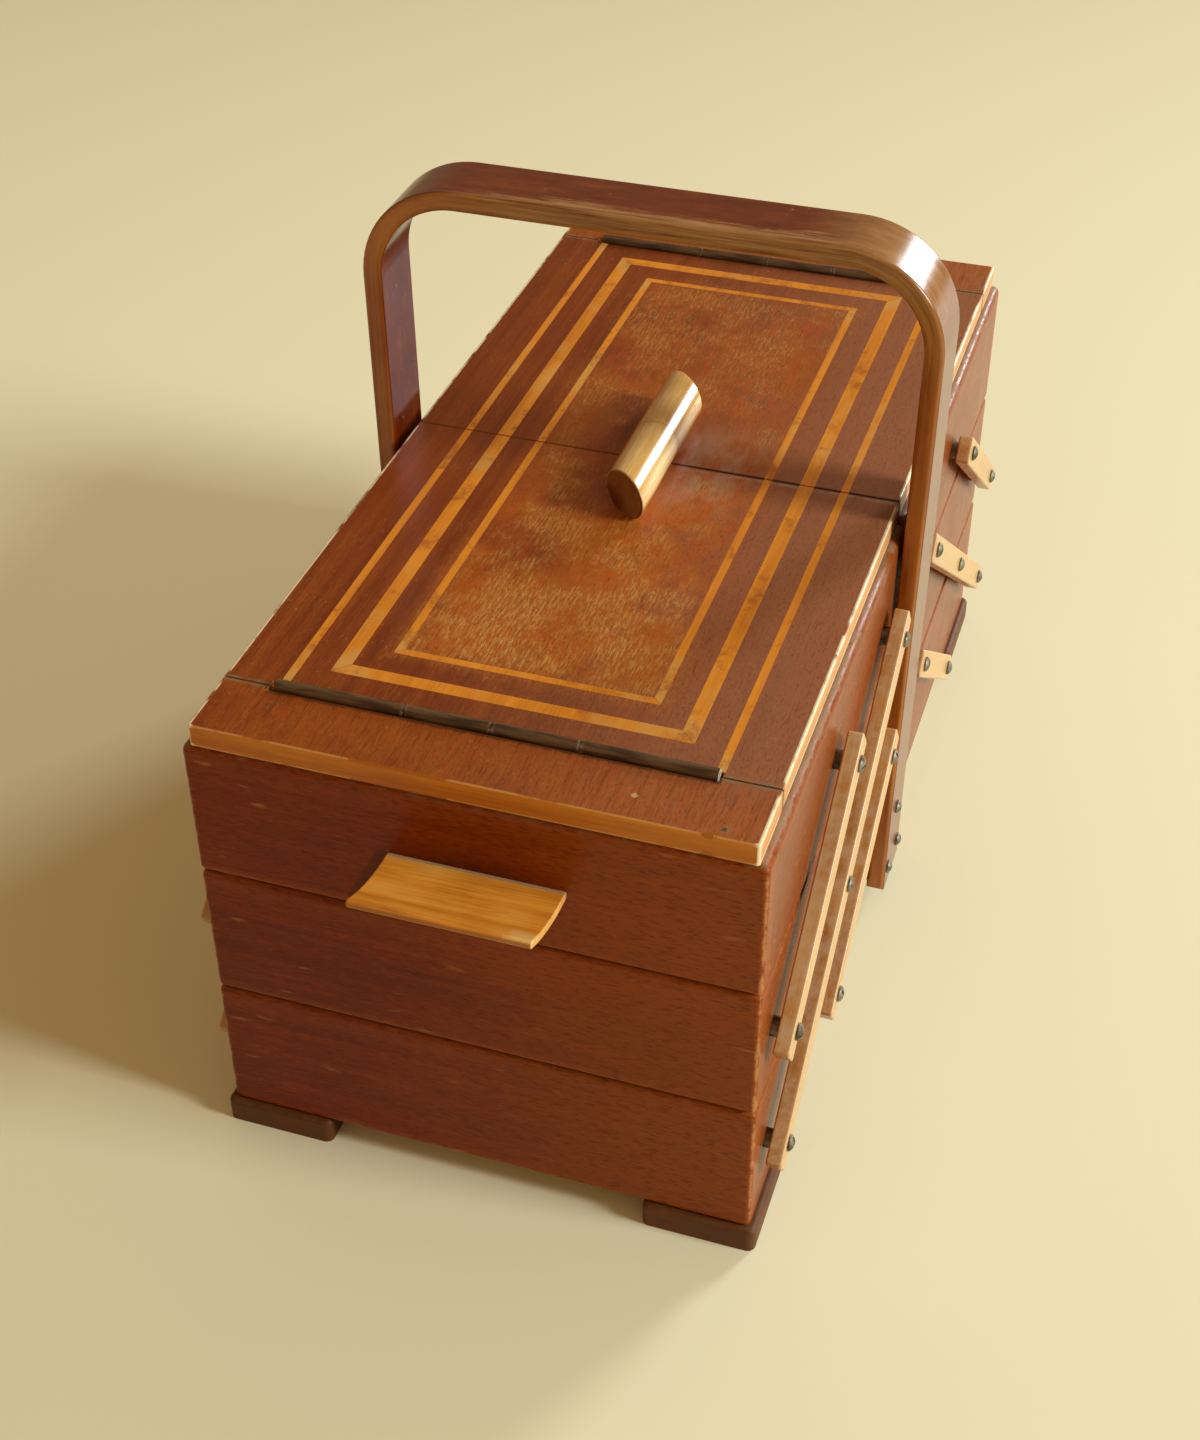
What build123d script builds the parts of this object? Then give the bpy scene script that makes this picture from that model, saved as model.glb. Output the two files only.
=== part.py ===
from build123d import *
from math import asin, atan2, cos, degrees, hypot, sin
import os

# Cantilever sewing carrier. Millimetres. X runs along the box, -Y is its front, +Z is up.
# The origin is on the ground, under the middle of the box.

# Boxes
BASE_LENGTH = 405.6
BOX_WIDTH = 200.0
BASE_HEIGHT = 58.3
TRAY_HEIGHT = 55.4
WALL = 8.0
BOTTOM_THICKNESS = 3.0
BOTTOM_REBATE = 4.0
TIER_GAP = 0.9
CENTRE_GAP = 0.6
TRAY_SIDE_PLAY = 0.3
CORNER_RADIUS = 2.0
RIM_RADIUS = 2.4
TOP_RIM_RADIUS = 3.6
LOWER_RADIUS = 1.6
DIVIDER_THICKNESS = 4.0
DIVIDER_DROP = 12.0

# Corner feet
FOOT_HEIGHT = 10.0
FOOT_LENGTH = 50.0
FOOT_WIDTH = 42.0
FOOT_OVERHANG = 2.5
FOOT_RADIUS = 2.0
FOOT_CORNER_RADIUS = 3.0

# Linkage. A pivot stands PIVOT_DROP below the rim of the box that carries it.
PIVOT_DROP = 30.7
OUTER_PIVOT_INSET = 18.8
PIVOT_TO_HANDLE = 16.9
LINK_WIDTH = 11.5
LINK_THICKNESS = 5.8
LINK_OVERHANG = 9.8
LINK_CORNER_RADIUS = 1.5
LINK_EDGE_RADIUS = 0.7
LINK_PLAY = 0.2

# Pivot screws and the washers that hold the links off the walls
SCREW_RADIUS = 2.0
SCREW_GRIP = 6.5
SCREW_FIT = 0.03
PIVOT_PLAY = 0.08
HEAD_RADIUS = 3.1
HEAD_RIM = 0.5
HEAD_DOME = 1.4
SLOT_WIDTH = 0.9
SLOT_DEPTH = 0.9
SLOT_TURN = 37.0
WASHER_RADIUS = 3.6
WASHER_THICKNESS = 2.2

# Bentwood handle
HANDLE_WIDTH = 29.0
HANDLE_THICKNESS = 7.4
HANDLE_TOP = 295.0
HANDLE_FOOT = 7.5
HANDLE_BEND = 47.5
HANDLE_SPREAD = 2.2
HANDLE_CORNER_RADIUS = 37.5
HANDLE_BEND_RADIUS = 150.0
HANDLE_EDGE_RADIUS = 1.5
HANDLE_SCREW_HIGH = 32.5
HANDLE_SCREW_LOW = 7.0
HANDLE_SCREW_SPREAD = 9.0
HANDLE_HEAD_RADIUS = 2.8

# Lid boards and the fixed strips that they are hinged to
LID_THICKNESS = 7.8
LID_LIFT = 0.5
LID_SIDE_INSET = 3.7
LID_PLAY = 0.4
STRIP_END_INSET = 0.4
BOARD_CORNER_RADIUS = 1.2
BOARD_EDGE_RADIUS = 0.6
HINGE_INSET = 28.1

# Hinges. The barrel lies half sunk in the joint between strip and lid.
BARREL_RADIUS = 2.3
BARREL_RISE = 0.6
PIN_RADIUS = 1.0
PIN_PLAY = 0.05
KNUCKLE_PLAY = 0.12
BARREL_PLAY = 0.3
LEAF_THICKNESS = 0.8
LEAF_GAP = 0.2
LEAF_DEPTH = 6.0
HINGE_FRONT = -75.7
HINGE_BACK = 76.9
OUTER_KNUCKLE = 46.0
NOTCH_SPARE_FRONT = 0.9
NOTCH_SPARE_BACK = 2.6

# Inlaid strings: distance from the lid's middle line and width. Two of them turn at the hinge.
INLAY_DEPTH = 0.8
OUTER_STRING_Y = 76.8
OUTER_STRING_WIDTH = 3.0
BAND_Y = 63.5
BAND_END = 13.4
BAND_WIDTH = 5.5
INNER_STRING_Y = 47.2
INNER_STRING_END = 29.5
INNER_STRING_WIDTH = 3.0

# Round pull bar on the lids, half on each. Both of its ends are cut on the same slant.
BAR_RADIUS = 9.2
BAR_HALF_LENGTH = 39.0
BAR_CENTRE_Y = -1.0
BAR_END_SLANT = 37.5
BAR_FLAT = 1.0
BAR_EDGE_RADIUS = 0.6
BAR_PLAY = 0.1

# Scooped end pulls, each a thin bent board with its root housed in the wall
PULL_LENGTH = 62.0
PULL_CENTRE_Y = -2.7
PULL_REACH = 32.2
PULL_RISE = 7.9
PULL_HEIGHT = 27.3
PULL_THICKNESS = 3.0
PULL_TONGUE = 4.0
PULL_LIP_RADIUS = 1.4
PULL_EDGE_RADIUS = 0.6

# How far a cutting body runs past the surface that it opens
CUT_SPARE = 1.0

# Places that follow from the sizes above. They are for the right half; the left one is its mirror.
half_length = BASE_LENGTH / 2
half_width = BOX_WIDTH / 2
tray_half_width = half_width - TRAY_SIDE_PLAY
base_rim = FOOT_HEIGHT + BASE_HEIGHT
mid_floor = base_rim + TIER_GAP
mid_rim = mid_floor + TRAY_HEIGHT
top_floor = mid_rim + TIER_GAP
top_rim = top_floor + TRAY_HEIGHT
lid_floor = top_rim + LID_LIFT
lid_top = lid_floor + LID_THICKNESS

inner_pivot_x = HANDLE_WIDTH / 2 + PIVOT_TO_HANDLE
outer_pivot_x = half_length - OUTER_PIVOT_INSET
middle_pivot_x = (inner_pivot_x + outer_pivot_x) / 2
base_pivot_z = base_rim - PIVOT_DROP
mid_pivot_z = mid_rim - PIVOT_DROP
top_pivot_z = top_rim - PIVOT_DROP
link_floor = WASHER_THICKNESS + LINK_PLAY
head_seat = link_floor + LINK_THICKNESS + LINK_PLAY
link_angle = degrees(atan2(mid_pivot_z - base_pivot_z, middle_pivot_x - outer_pivot_x))

board_half_width = half_width - LID_SIDE_INSET
hinge_x = half_length - HINGE_INSET
hinge_z = lid_top + BARREL_RISE
notch_reach = BARREL_RADIUS + BARREL_PLAY
notch_floor = hinge_z - notch_reach

pull_span = (PULL_CENTRE_Y - PULL_LENGTH / 2, PULL_CENTRE_Y + PULL_LENGTH / 2)
pull_root = top_floor + PULL_HEIGHT
pull_tip = (half_length + PULL_REACH, pull_root + PULL_RISE)

SIDES = (-1, 1)
base_pivots = [(outer_pivot_x, base_pivot_z), (middle_pivot_x, base_pivot_z)]
mid_pivots = [(x, mid_pivot_z) for x in (outer_pivot_x, middle_pivot_x, inner_pivot_x)]
top_pivots = [(x, top_pivot_z) for x in (middle_pivot_x, inner_pivot_x)]
handle_screws = [
    (0, FOOT_HEIGHT + HANDLE_SCREW_HIGH),
    (-HANDLE_SCREW_SPREAD, FOOT_HEIGHT + HANDLE_SCREW_LOW),
    (HANDLE_SCREW_SPREAD, FOOT_HEIGHT + HANDLE_SCREW_LOW),
]

os.makedirs("parts", exist_ok=True)


def save(piece, name):
    """Label one finished piece and write it to its own file."""
    piece.part.label = name
    export_step(piece.part, f"parts/{name}.step")


def save_pair(piece, name):
    """Write a piece of the right half, and its mirror image for the left half."""
    save(piece, f"right_{name}")
    with BuildPart() as twin:
        mirror(piece.part, about=Plane.YZ)
    save(twin, f"left_{name}")


def block(x_span, y_span, z_span, mode=Mode.ADD):
    """A box between two corners, worked into the part that is open."""
    spans = (x_span, y_span, z_span)
    centre = [(low + high) / 2 for low, high in spans]
    size = [high - low for low, high in spans]
    with Locations(tuple(centre)):
        Box(*size, mode=mode)


def outward(x, side, z, face=half_width, turn=0.0):
    """A place on a long side's outer face, with its Z axis pointing out of the wall."""
    return Location((x, side * face, z), (-90 * side, 0, 0)) * Rotation(0, 0, turn)


def bore(points, sides, radius, low, high, face=half_width):
    """Round holes square to the long sides, from low to high above the outer face."""
    places = [outward(x, side, z, face) * Pos(0, 0, low) for side in sides for x, z in points]
    with Locations(*places):
        Cylinder(radius, high - low, align=(Align.CENTER, Align.CENTER, Align.MIN), mode=Mode.SUBTRACT)


def domed_screw(seat, head_radius):
    """A slotted screw, seen from the wall's outer face: its head is seated at the given height."""
    head_top = seat + HEAD_RIM + HEAD_DOME
    dome_radius = (head_radius**2 + HEAD_DOME**2) / (2 * HEAD_DOME)
    half_angle = asin(head_radius / dome_radius) / 2
    shoulder = (
        dome_radius * sin(half_angle),
        head_top - dome_radius + dome_radius * cos(half_angle),
    )
    with BuildPart() as screw:
        with BuildSketch(Plane.XZ):
            with BuildLine():
                Polyline(
                    (0, head_top),
                    (0, -SCREW_GRIP),
                    (SCREW_RADIUS, -SCREW_GRIP),
                    (SCREW_RADIUS, seat),
                    (head_radius, seat),
                    (head_radius, seat + HEAD_RIM),
                )
                ThreePointArc((head_radius, seat + HEAD_RIM), shoulder, (0, head_top))
            make_face()
        revolve(axis=Axis.Z)
        with Locations((0, 0, head_top)):
            Box(2 * head_radius, SLOT_WIDTH, 2 * SLOT_DEPTH, mode=Mode.SUBTRACT)
    return screw


# ---------------------------------------------------------------------------- screws and washers

handle_screw = domed_screw(HANDLE_THICKNESS, HANDLE_HEAD_RADIUS)


def loose_washer(thickness):
    """A washer on a wall's outer face, round its screw."""
    with BuildPart() as washer:
        Cylinder(WASHER_RADIUS, thickness, align=(Align.CENTER, Align.CENTER, Align.MIN))
        Cylinder(SCREW_RADIUS + PIVOT_PLAY, 3 * thickness, mode=Mode.SUBTRACT)
    return washer


def place_on_sides(points, *pieces, face=half_width):
    """Copies of the pieces at each point on both long sides, each a little further turned."""
    places = []
    for side in SIDES:
        for x, z in points:
            places.append(outward(x, side, z, face, turn=SLOT_TURN * len(places)))
    with BuildPart() as group:
        for piece in pieces:
            with Locations(*places):
                add(piece.part)
    return group


def pivot_set(points, face):
    """The pivot screws of one box, with washers that reach the links' common plane."""
    step = half_width - face
    screw = domed_screw(head_seat + step, HEAD_RADIUS)
    return place_on_sides(points, screw, loose_washer(WASHER_THICKNESS + step), face=face)


# ------------------------------------------------------------------------------ walls and bottoms


def softened_block(x_span, face, z_span, rim_radius):
    """The outside of one box, with its outer edges rounded."""
    with BuildPart() as outside:
        block(x_span, (-face, face), z_span)
        fillet(outside.edges().filter_by(Axis.Z), CORNER_RADIUS)
        fillet(outside.faces().sort_by(Axis.Z)[-1].edges(), rim_radius)
        fillet(outside.faces().sort_by(Axis.Z)[0].edges(), LOWER_RADIUS)
    return outside


def open_box(
    x_span,
    face,
    z_span,
    pivots,
    save_piece,
    end_names,
    rim_radius=RIM_RADIUS,
    extra_screws=(),
    groove=None,
):
    """Four walls and a bottom. The end walls are full width and the long walls stand between.

    Its long sides lie at the given face on both sides of the middle line. A groove is the x, y and
    z span of a housing in the second end wall.
    """
    outside = softened_block(x_span, face, z_span, rim_radius)
    rim = z_span[1]
    full = (-face, face)
    between = (x_span[0] + WALL, x_span[1] - WALL)
    wall_places = {
        "front_wall": (between, (-face, WALL - face)),
        "back_wall": (between, (face - WALL, face)),
        end_names[0]: ((x_span[0], x_span[0] + WALL), full),
        end_names[1]: ((x_span[1] - WALL, x_span[1]), full),
    }
    inset = WALL - BOTTOM_REBATE
    with BuildPart() as bottom:
        block(
            (x_span[0] + inset, x_span[1] - inset),
            (inset - face, face - inset),
            (z_span[0], z_span[0] + BOTTOM_THICKNESS),
        )
    for name, (wall_x, wall_y) in wall_places.items():
        with BuildPart() as wall:
            add(outside.part)
            block(wall_x, wall_y, (z_span[0], rim), mode=Mode.INTERSECT)
            add(bottom.part, mode=Mode.SUBTRACT)
            if name in ("front_wall", "back_wall"):
                side = -1 if name == "front_wall" else 1
                bore([*pivots, *extra_screws], [side], SCREW_RADIUS + SCREW_FIT, -SCREW_GRIP, WALL, face)
            if groove and name == end_names[1]:
                block(*groove, mode=Mode.SUBTRACT)
        save_piece(wall, name)
    save_piece(bottom, "bottom")


def tray(level, floor, pivots, rim_radius=RIM_RADIUS, groove=None):
    """One tray of the right half, with its divider and its pivot screws."""

    def save_piece(piece, name):
        save_pair(piece, f"{level}_{name}")

    x_span = (CENTRE_GAP, half_length)
    rim = floor + TRAY_HEIGHT
    face = tray_half_width
    ends = ("inner_wall", "outer_wall")
    open_box(x_span, face, (floor, rim), pivots, save_piece, ends, rim_radius, groove=groove)
    middle = sum(x_span) / 2
    with BuildPart() as divider:
        block(
            (middle - DIVIDER_THICKNESS / 2, middle + DIVIDER_THICKNESS / 2),
            (WALL - face, face - WALL),
            (floor + BOTTOM_THICKNESS, rim - DIVIDER_DROP),
        )
    save_piece(divider, "divider")
    save_piece(pivot_set(pivots, face), "pivot_screws")


# ------------------------------------------------------------------------------------------- base

both_halves = base_pivots + [(-x, z) for x, z in base_pivots]
open_box(
    (-half_length, half_length),
    half_width,
    (FOOT_HEIGHT, base_rim),
    both_halves,
    lambda piece, name: save(piece, f"base_{name}"),
    ("left_wall", "right_wall"),
    extra_screws=handle_screws,
)
save(pivot_set(both_halves, half_width), "base_pivot_screws")
save(place_on_sides(handle_screws, handle_screw), "handle_screws")

foot_x = half_length + FOOT_OVERHANG
foot_y = half_width + FOOT_OVERHANG
with BuildPart() as corner_feet:
    block((foot_x - FOOT_LENGTH, foot_x), (foot_y - FOOT_WIDTH, foot_y), (0, FOOT_HEIGHT))
    fillet(corner_feet.edges().filter_by(Axis.Z), FOOT_CORNER_RADIUS)
    fillet(corner_feet.faces().sort_by(Axis.Z)[-1].edges(), FOOT_RADIUS)
    mirror(about=Plane.XZ)
    mirror(about=Plane.YZ)
save(corner_feet, "corner_feet")

# The strap stands flat on the base's sides, then leans out a little, so that the trays clear it.
lean = HANDLE_SPREAD / (HANDLE_TOP - HANDLE_BEND)
inner_top = HANDLE_TOP - HANDLE_THICKNESS
inner_spread = lean * (inner_top - HANDLE_BEND)


def strap_line(offset, spread, top, corner_radius, bend_radius):
    """One side of the strap, from foot to foot over the top."""
    leg = half_width + offset
    right = [(leg, HANDLE_FOOT), (leg, HANDLE_BEND), (leg + spread, top)]
    left = [(-y, z) for y, z in reversed(right)]
    radii = [bend_radius, corner_radius, corner_radius, bend_radius]
    return FilletPolyline(*right, *left, radius=radii)


with BuildPart() as handle:
    with BuildSketch(Plane.YZ):
        with BuildLine():
            outer_line = strap_line(
                HANDLE_THICKNESS, HANDLE_SPREAD, HANDLE_TOP, HANDLE_CORNER_RADIUS, HANDLE_BEND_RADIUS
            )
            inner_line = strap_line(
                0, inner_spread, inner_top, HANDLE_CORNER_RADIUS - HANDLE_THICKNESS, HANDLE_BEND_RADIUS
            )
            Line(outer_line @ 0, inner_line @ 0)
            Line(outer_line @ 1, inner_line @ 1)
        make_face()
    extrude(amount=HANDLE_WIDTH / 2, both=True)
    fillet(handle.faces().filter_by(Axis.X).edges(), HANDLE_EDGE_RADIUS)
    bore(handle_screws, SIDES, SCREW_RADIUS + SCREW_FIT, -CUT_SPARE, HANDLE_THICKNESS + CUT_SPARE)
save(handle, "handle")

# ------------------------------------------------------------------------------------------ trays

pull_groove = (
    (half_length - PULL_TONGUE, half_length),
    pull_span,
    (pull_root - PULL_THICKNESS, pull_root),
)
tray("mid", mid_floor, mid_pivots)
tray("top", top_floor, top_pivots, TOP_RIM_RADIUS, groove=pull_groove)

# ------------------------------------------------------------------------------------------ links


def links(low, high, pivots):
    """A link on each long side, from one pivot to another, bored at every pivot on it."""
    length = hypot(high[0] - low[0], high[1] - low[1]) + 2 * LINK_OVERHANG
    middle = ((low[0] + high[0]) / 2, (low[1] + high[1]) / 2)
    with BuildPart() as pair:
        with BuildSketch(Plane.XZ.offset(half_width + link_floor)):
            with Locations(middle):
                RectangleRounded(length, LINK_WIDTH, LINK_CORNER_RADIUS, rotation=link_angle)
        extrude(amount=LINK_THICKNESS)
        fillet(pair.faces().filter_by(Axis.Y).edges(), LINK_EDGE_RADIUS)
        bore(pivots, [-1], SCREW_RADIUS + PIVOT_PLAY, 0, 2 * head_seat)
        mirror(about=Plane.XZ)
    return pair


base_outer, base_middle = base_pivots
mid_outer, mid_middle, mid_inner = mid_pivots
top_middle, top_inner = top_pivots
save_pair(links(base_outer, top_inner, (base_outer, mid_middle, top_inner)), "long_links")
save_pair(links(base_middle, mid_inner, (base_middle, mid_inner)), "lower_links")
save_pair(links(mid_outer, top_middle, (mid_outer, top_middle)), "upper_links")

# ----------------------------------------------------------------------------------------- hinges

# The knuckles from the back: strip, lid, strip, lid.
inner_knuckle = (HINGE_BACK - HINGE_FRONT - 2 * OUTER_KNUCKLE) / 2
hinge_middle = HINGE_FRONT + OUTER_KNUCKLE + inner_knuckle
strip_knuckles = [
    (HINGE_BACK - OUTER_KNUCKLE, HINGE_BACK),
    (HINGE_FRONT + OUTER_KNUCKLE, hinge_middle),
]
lid_knuckles = [
    (hinge_middle, HINGE_BACK - OUTER_KNUCKLE),
    (HINGE_FRONT, HINGE_FRONT + OUTER_KNUCKLE),
]
leaf_top = notch_floor
leaf_floor = hinge_z - BARREL_RADIUS - LEAF_DEPTH + LEAF_THICKNESS
leaf_root = hinge_z - (BARREL_RADIUS + PIN_RADIUS + PIN_PLAY) / 2
strip_leaf_x = (hinge_x + LEAF_GAP, hinge_x + LEAF_GAP + LEAF_THICKNESS)
lid_leaf_x = (hinge_x - LEAF_GAP - LEAF_THICKNESS, hinge_x - LEAF_GAP)
hinge_span = (HINGE_FRONT, HINGE_BACK)


def hinge_leaf(leaf_x, knuckles):
    """One leaf on edge in the joint, with its knuckles rolled round the pin."""
    with BuildPart() as leaf:
        block(leaf_x, hinge_span, (leaf_floor, leaf_top))
        for low, high in knuckles:
            span = (low + KNUCKLE_PLAY, high - KNUCKLE_PLAY)
            block(leaf_x, span, (leaf_floor, leaf_root))
            with BuildSketch(Plane.XZ.offset(-span[1])):
                with Locations((hinge_x, hinge_z)):
                    Circle(BARREL_RADIUS)
                    Circle(PIN_RADIUS + PIN_PLAY, mode=Mode.SUBTRACT)
            extrude(amount=span[1] - span[0])
    return leaf


strip_leaf = hinge_leaf(strip_leaf_x, strip_knuckles)
lid_leaf = hinge_leaf(lid_leaf_x, lid_knuckles)
save_pair(strip_leaf, "top_hinge_leaf")
save_pair(lid_leaf, "lid_hinge_leaf")

with BuildPart() as hinge_pin:
    with BuildSketch(Plane.XZ.offset(-HINGE_BACK)):
        with Locations((hinge_x, hinge_z)):
            Circle(PIN_RADIUS)
    extrude(amount=HINGE_BACK - HINGE_FRONT)
save_pair(hinge_pin, "top_hinge_pin")


def board(x_span, z_span, leaf_x, rounded_ends):
    """A board level with the lid's top, cut for its leaf and for the barrel."""
    with BuildPart() as panel:
        block(x_span, (-board_half_width, board_half_width), z_span)
        top_edges = panel.faces().sort_by(Axis.Z)[-1].edges()
        if rounded_ends:
            fillet(panel.edges().filter_by(Axis.Z).sort_by(Axis.X)[-2:], BOARD_CORNER_RADIUS)
            top_edges = panel.faces().sort_by(Axis.Z)[-1].edges().sort_by(Axis.X)[1:]
            fillet(top_edges, BOARD_EDGE_RADIUS)
        else:
            fillet(top_edges.filter_by(Axis.X), BOARD_EDGE_RADIUS)
        block(leaf_x, hinge_span, (leaf_floor, leaf_top), mode=Mode.SUBTRACT)
        block(
            (hinge_x - notch_reach, hinge_x + notch_reach),
            (HINGE_FRONT - NOTCH_SPARE_FRONT, HINGE_BACK + NOTCH_SPARE_BACK),
            (notch_floor, lid_top + CUT_SPARE),
            mode=Mode.SUBTRACT,
        )
    return panel


strip_span = (hinge_x + LID_PLAY, half_length - STRIP_END_INSET)
strip_rebate = (strip_span[0] - CUT_SPARE, strip_leaf_x[1])
fixed_strip = board(strip_span, (top_rim, lid_top), strip_rebate, True)
save_pair(fixed_strip, "top_fixed_strip")

# ------------------------------------------------------------------------------------------- lids

lid_span = (LID_PLAY, hinge_x - LID_PLAY)
string_end = hinge_x - notch_reach


def turned_string(outer_y, end_x, width):
    """A string along both sides of the lid that turns across it near the hinge."""
    with Locations(((lid_span[0] + end_x) / 2, 0)):
        Rectangle(end_x - lid_span[0], 2 * outer_y)
    with Locations(((lid_span[0] + end_x - width) / 2, 0)):
        Rectangle(end_x - width - lid_span[0], 2 * (outer_y - width), mode=Mode.SUBTRACT)


with BuildPart() as inlay:
    with BuildSketch(Plane.XY.offset(lid_top - INLAY_DEPTH)):
        turned_string(BAND_Y, hinge_x - BAND_END, BAND_WIDTH)
    extrude(amount=INLAY_DEPTH)
    with BuildSketch(Plane.XY.offset(lid_top - INLAY_DEPTH)):
        turned_string(INNER_STRING_Y, hinge_x - INNER_STRING_END, INNER_STRING_WIDTH)
        string_middle = OUTER_STRING_Y - OUTER_STRING_WIDTH / 2
        with Locations(*[((lid_span[0] + string_end) / 2, side * string_middle) for side in SIDES]):
            Rectangle(string_end - lid_span[0], OUTER_STRING_WIDTH)
    extrude(amount=INLAY_DEPTH)
save_pair(inlay, "lid_inlay")

lid_rebate = (lid_leaf_x[0], lid_span[1] + CUT_SPARE)
lid_board = board(lid_span, (lid_floor, lid_top), lid_rebate, False)
with BuildPart() as lid_panel:
    add(lid_board.part)
    add(inlay.part, mode=Mode.SUBTRACT)
save_pair(lid_panel, "lid_panel")

bar_z = lid_top + BAR_RADIUS - BAR_FLAT
bar_axis = Axis((0, BAR_CENTRE_Y, 0), (0, 0, 1))
bar_end = Plane((BAR_HALF_LENGTH, BAR_CENTRE_Y, bar_z), z_dir=Vector(1, 0, 0).rotate(Axis.Z, -BAR_END_SLANT))
with BuildPart() as pull_bar:
    with BuildSketch(Plane.YZ.offset(BAR_PLAY)):
        with Locations((BAR_CENTRE_Y, bar_z)):
            Circle(BAR_RADIUS)
    extrude(amount=2 * BAR_HALF_LENGTH)
    split(bisect_by=bar_end, keep=Keep.BOTTOM)
    fillet(pull_bar.edges().sort_by(Axis.X)[-1], BAR_EDGE_RADIUS)
    block(
        (0, 2 * BAR_HALF_LENGTH), (BAR_CENTRE_Y - BAR_RADIUS, BAR_CENTRE_Y + BAR_RADIUS),
        (lid_floor, lid_top), mode=Mode.SUBTRACT,
    )
save(pull_bar, "right_lid_pull_bar")
with BuildPart() as left_pull_bar:
    add(pull_bar.part.rotate(bar_axis, 180))
save(left_pull_bar, "left_lid_pull_bar")

# -------------------------------------------------------------------------------------- end pulls

with BuildPart() as end_pull:
    with BuildSketch(Plane.XZ.offset(-PULL_CENTRE_Y)):
        with BuildLine():
            tongue = Line((half_length - PULL_TONGUE, pull_root), (half_length, pull_root))
            TangentArc(tongue @ 1, pull_tip, tangent=tongue % 1)
            offset(amount=PULL_THICKNESS, side=Side.RIGHT)
        make_face()
    extrude(amount=PULL_LENGTH / 2, both=True)
    fillet(end_pull.edges().filter_by(Axis.Y).sort_by(Axis.X)[-2:], PULL_LIP_RADIUS)
    scoop_edges = end_pull.faces().filter_by(Axis.Y).edges().filter_by_position(
        Axis.X, half_length + PULL_EDGE_RADIUS, pull_tip[0]
    )
    fillet(scoop_edges, PULL_EDGE_RADIUS)
save_pair(end_pull, "top_end_pull")
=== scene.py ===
"""A cantilever sewing carrier in stained and worn wood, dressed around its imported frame.

Lengths are in metres and every piece stands in the frame's own coordinates: X runs along the
carrier, -Y is its front long side and +Z is up.
"""

from __future__ import annotations

import logging
import math
from dataclasses import dataclass, field, replace
from enum import Enum
from typing import Sequence, Union

import bmesh
import bpy
from mathutils import Matrix, Vector

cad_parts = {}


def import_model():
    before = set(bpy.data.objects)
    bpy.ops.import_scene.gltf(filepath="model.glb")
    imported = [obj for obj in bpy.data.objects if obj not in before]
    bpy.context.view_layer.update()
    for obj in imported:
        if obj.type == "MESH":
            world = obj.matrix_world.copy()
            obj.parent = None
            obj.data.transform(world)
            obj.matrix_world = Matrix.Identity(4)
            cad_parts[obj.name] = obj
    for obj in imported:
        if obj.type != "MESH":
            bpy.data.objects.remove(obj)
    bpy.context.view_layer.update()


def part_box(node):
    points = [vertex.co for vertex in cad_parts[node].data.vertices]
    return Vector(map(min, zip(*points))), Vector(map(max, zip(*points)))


LOG = logging.getLogger("sewing_carrier")
MM = 0.001

Colour = tuple[float, float, float]
Socket = bpy.types.NodeSocket
Value = Union[Socket, float]
Cells = Union[float, tuple[float, float, float]]
Ramp = tuple[float, float, float]  # where a fade starts, where it ends and its strength there


class Grain(Enum):
    """The way that a board's fibres run."""

    ALONG = (1.0, 0.0, 0.0)
    ACROSS = (0.0, 1.0, 0.0)

    def drawn(self, along: float, across: float) -> tuple[float, float, float]:
        """Cells for each metre on each axis, from those along the fibres and those across them."""
        return tuple(along if share else across for share in self.value)


class Side(Enum):
    """The two halves of the carrier, with the sign of their X."""

    LEFT = ("left", -1.0)
    RIGHT = ("right", 1.0)

    @property
    def label(self) -> str:
        """The first word of this half's node names."""
        return self.value[0]

    @property
    def sign(self) -> float:
        """The sign of X on this half."""
        return self.value[1]


@dataclass(frozen=True)
class Span:
    """A box between two corners, in the frame's coordinates."""

    low: Vector
    high: Vector

    @staticmethod
    def of(*nodes: str) -> "Span":
        """The box around some nodes of the frame.

        Args:
            nodes: The nodes' names.

        Returns:
            Their common box.
        """
        corners = [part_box(node) for node in nodes]
        low = Vector([min(pair[0][axis] for pair in corners) for axis in range(3)])
        high = Vector([max(pair[1][axis] for pair in corners) for axis in range(3)])
        return Span(low, high)

    @property
    def centre(self) -> Vector:
        """The middle of the box."""
        return (self.low + self.high) / 2

    @property
    def half(self) -> Vector:
        """Half the box's size on each axis."""
        return (self.high - self.low) / 2


@dataclass(frozen=True)
class Pattern:
    """Noise with the band of it that shows.

    Attributes:
        cells: Its cells for each metre, on all axes alike or on each.
        detail: How many finer layers it has.
        roughness: How strong the finer layers are.
        start: The noise at which it begins to show.
        end: The noise at which it shows in full.
        top: How much it then shows.
        turn: A turn about Z, in radians, before the cells are drawn out.
    """

    cells: Cells
    detail: float = 3.0
    roughness: float = 0.5
    start: float = 0.0
    end: float = 1.0
    top: float = 1.0
    turn: float = 0.0


# --------------------------------------------------------------------------------- node graphs


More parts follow.
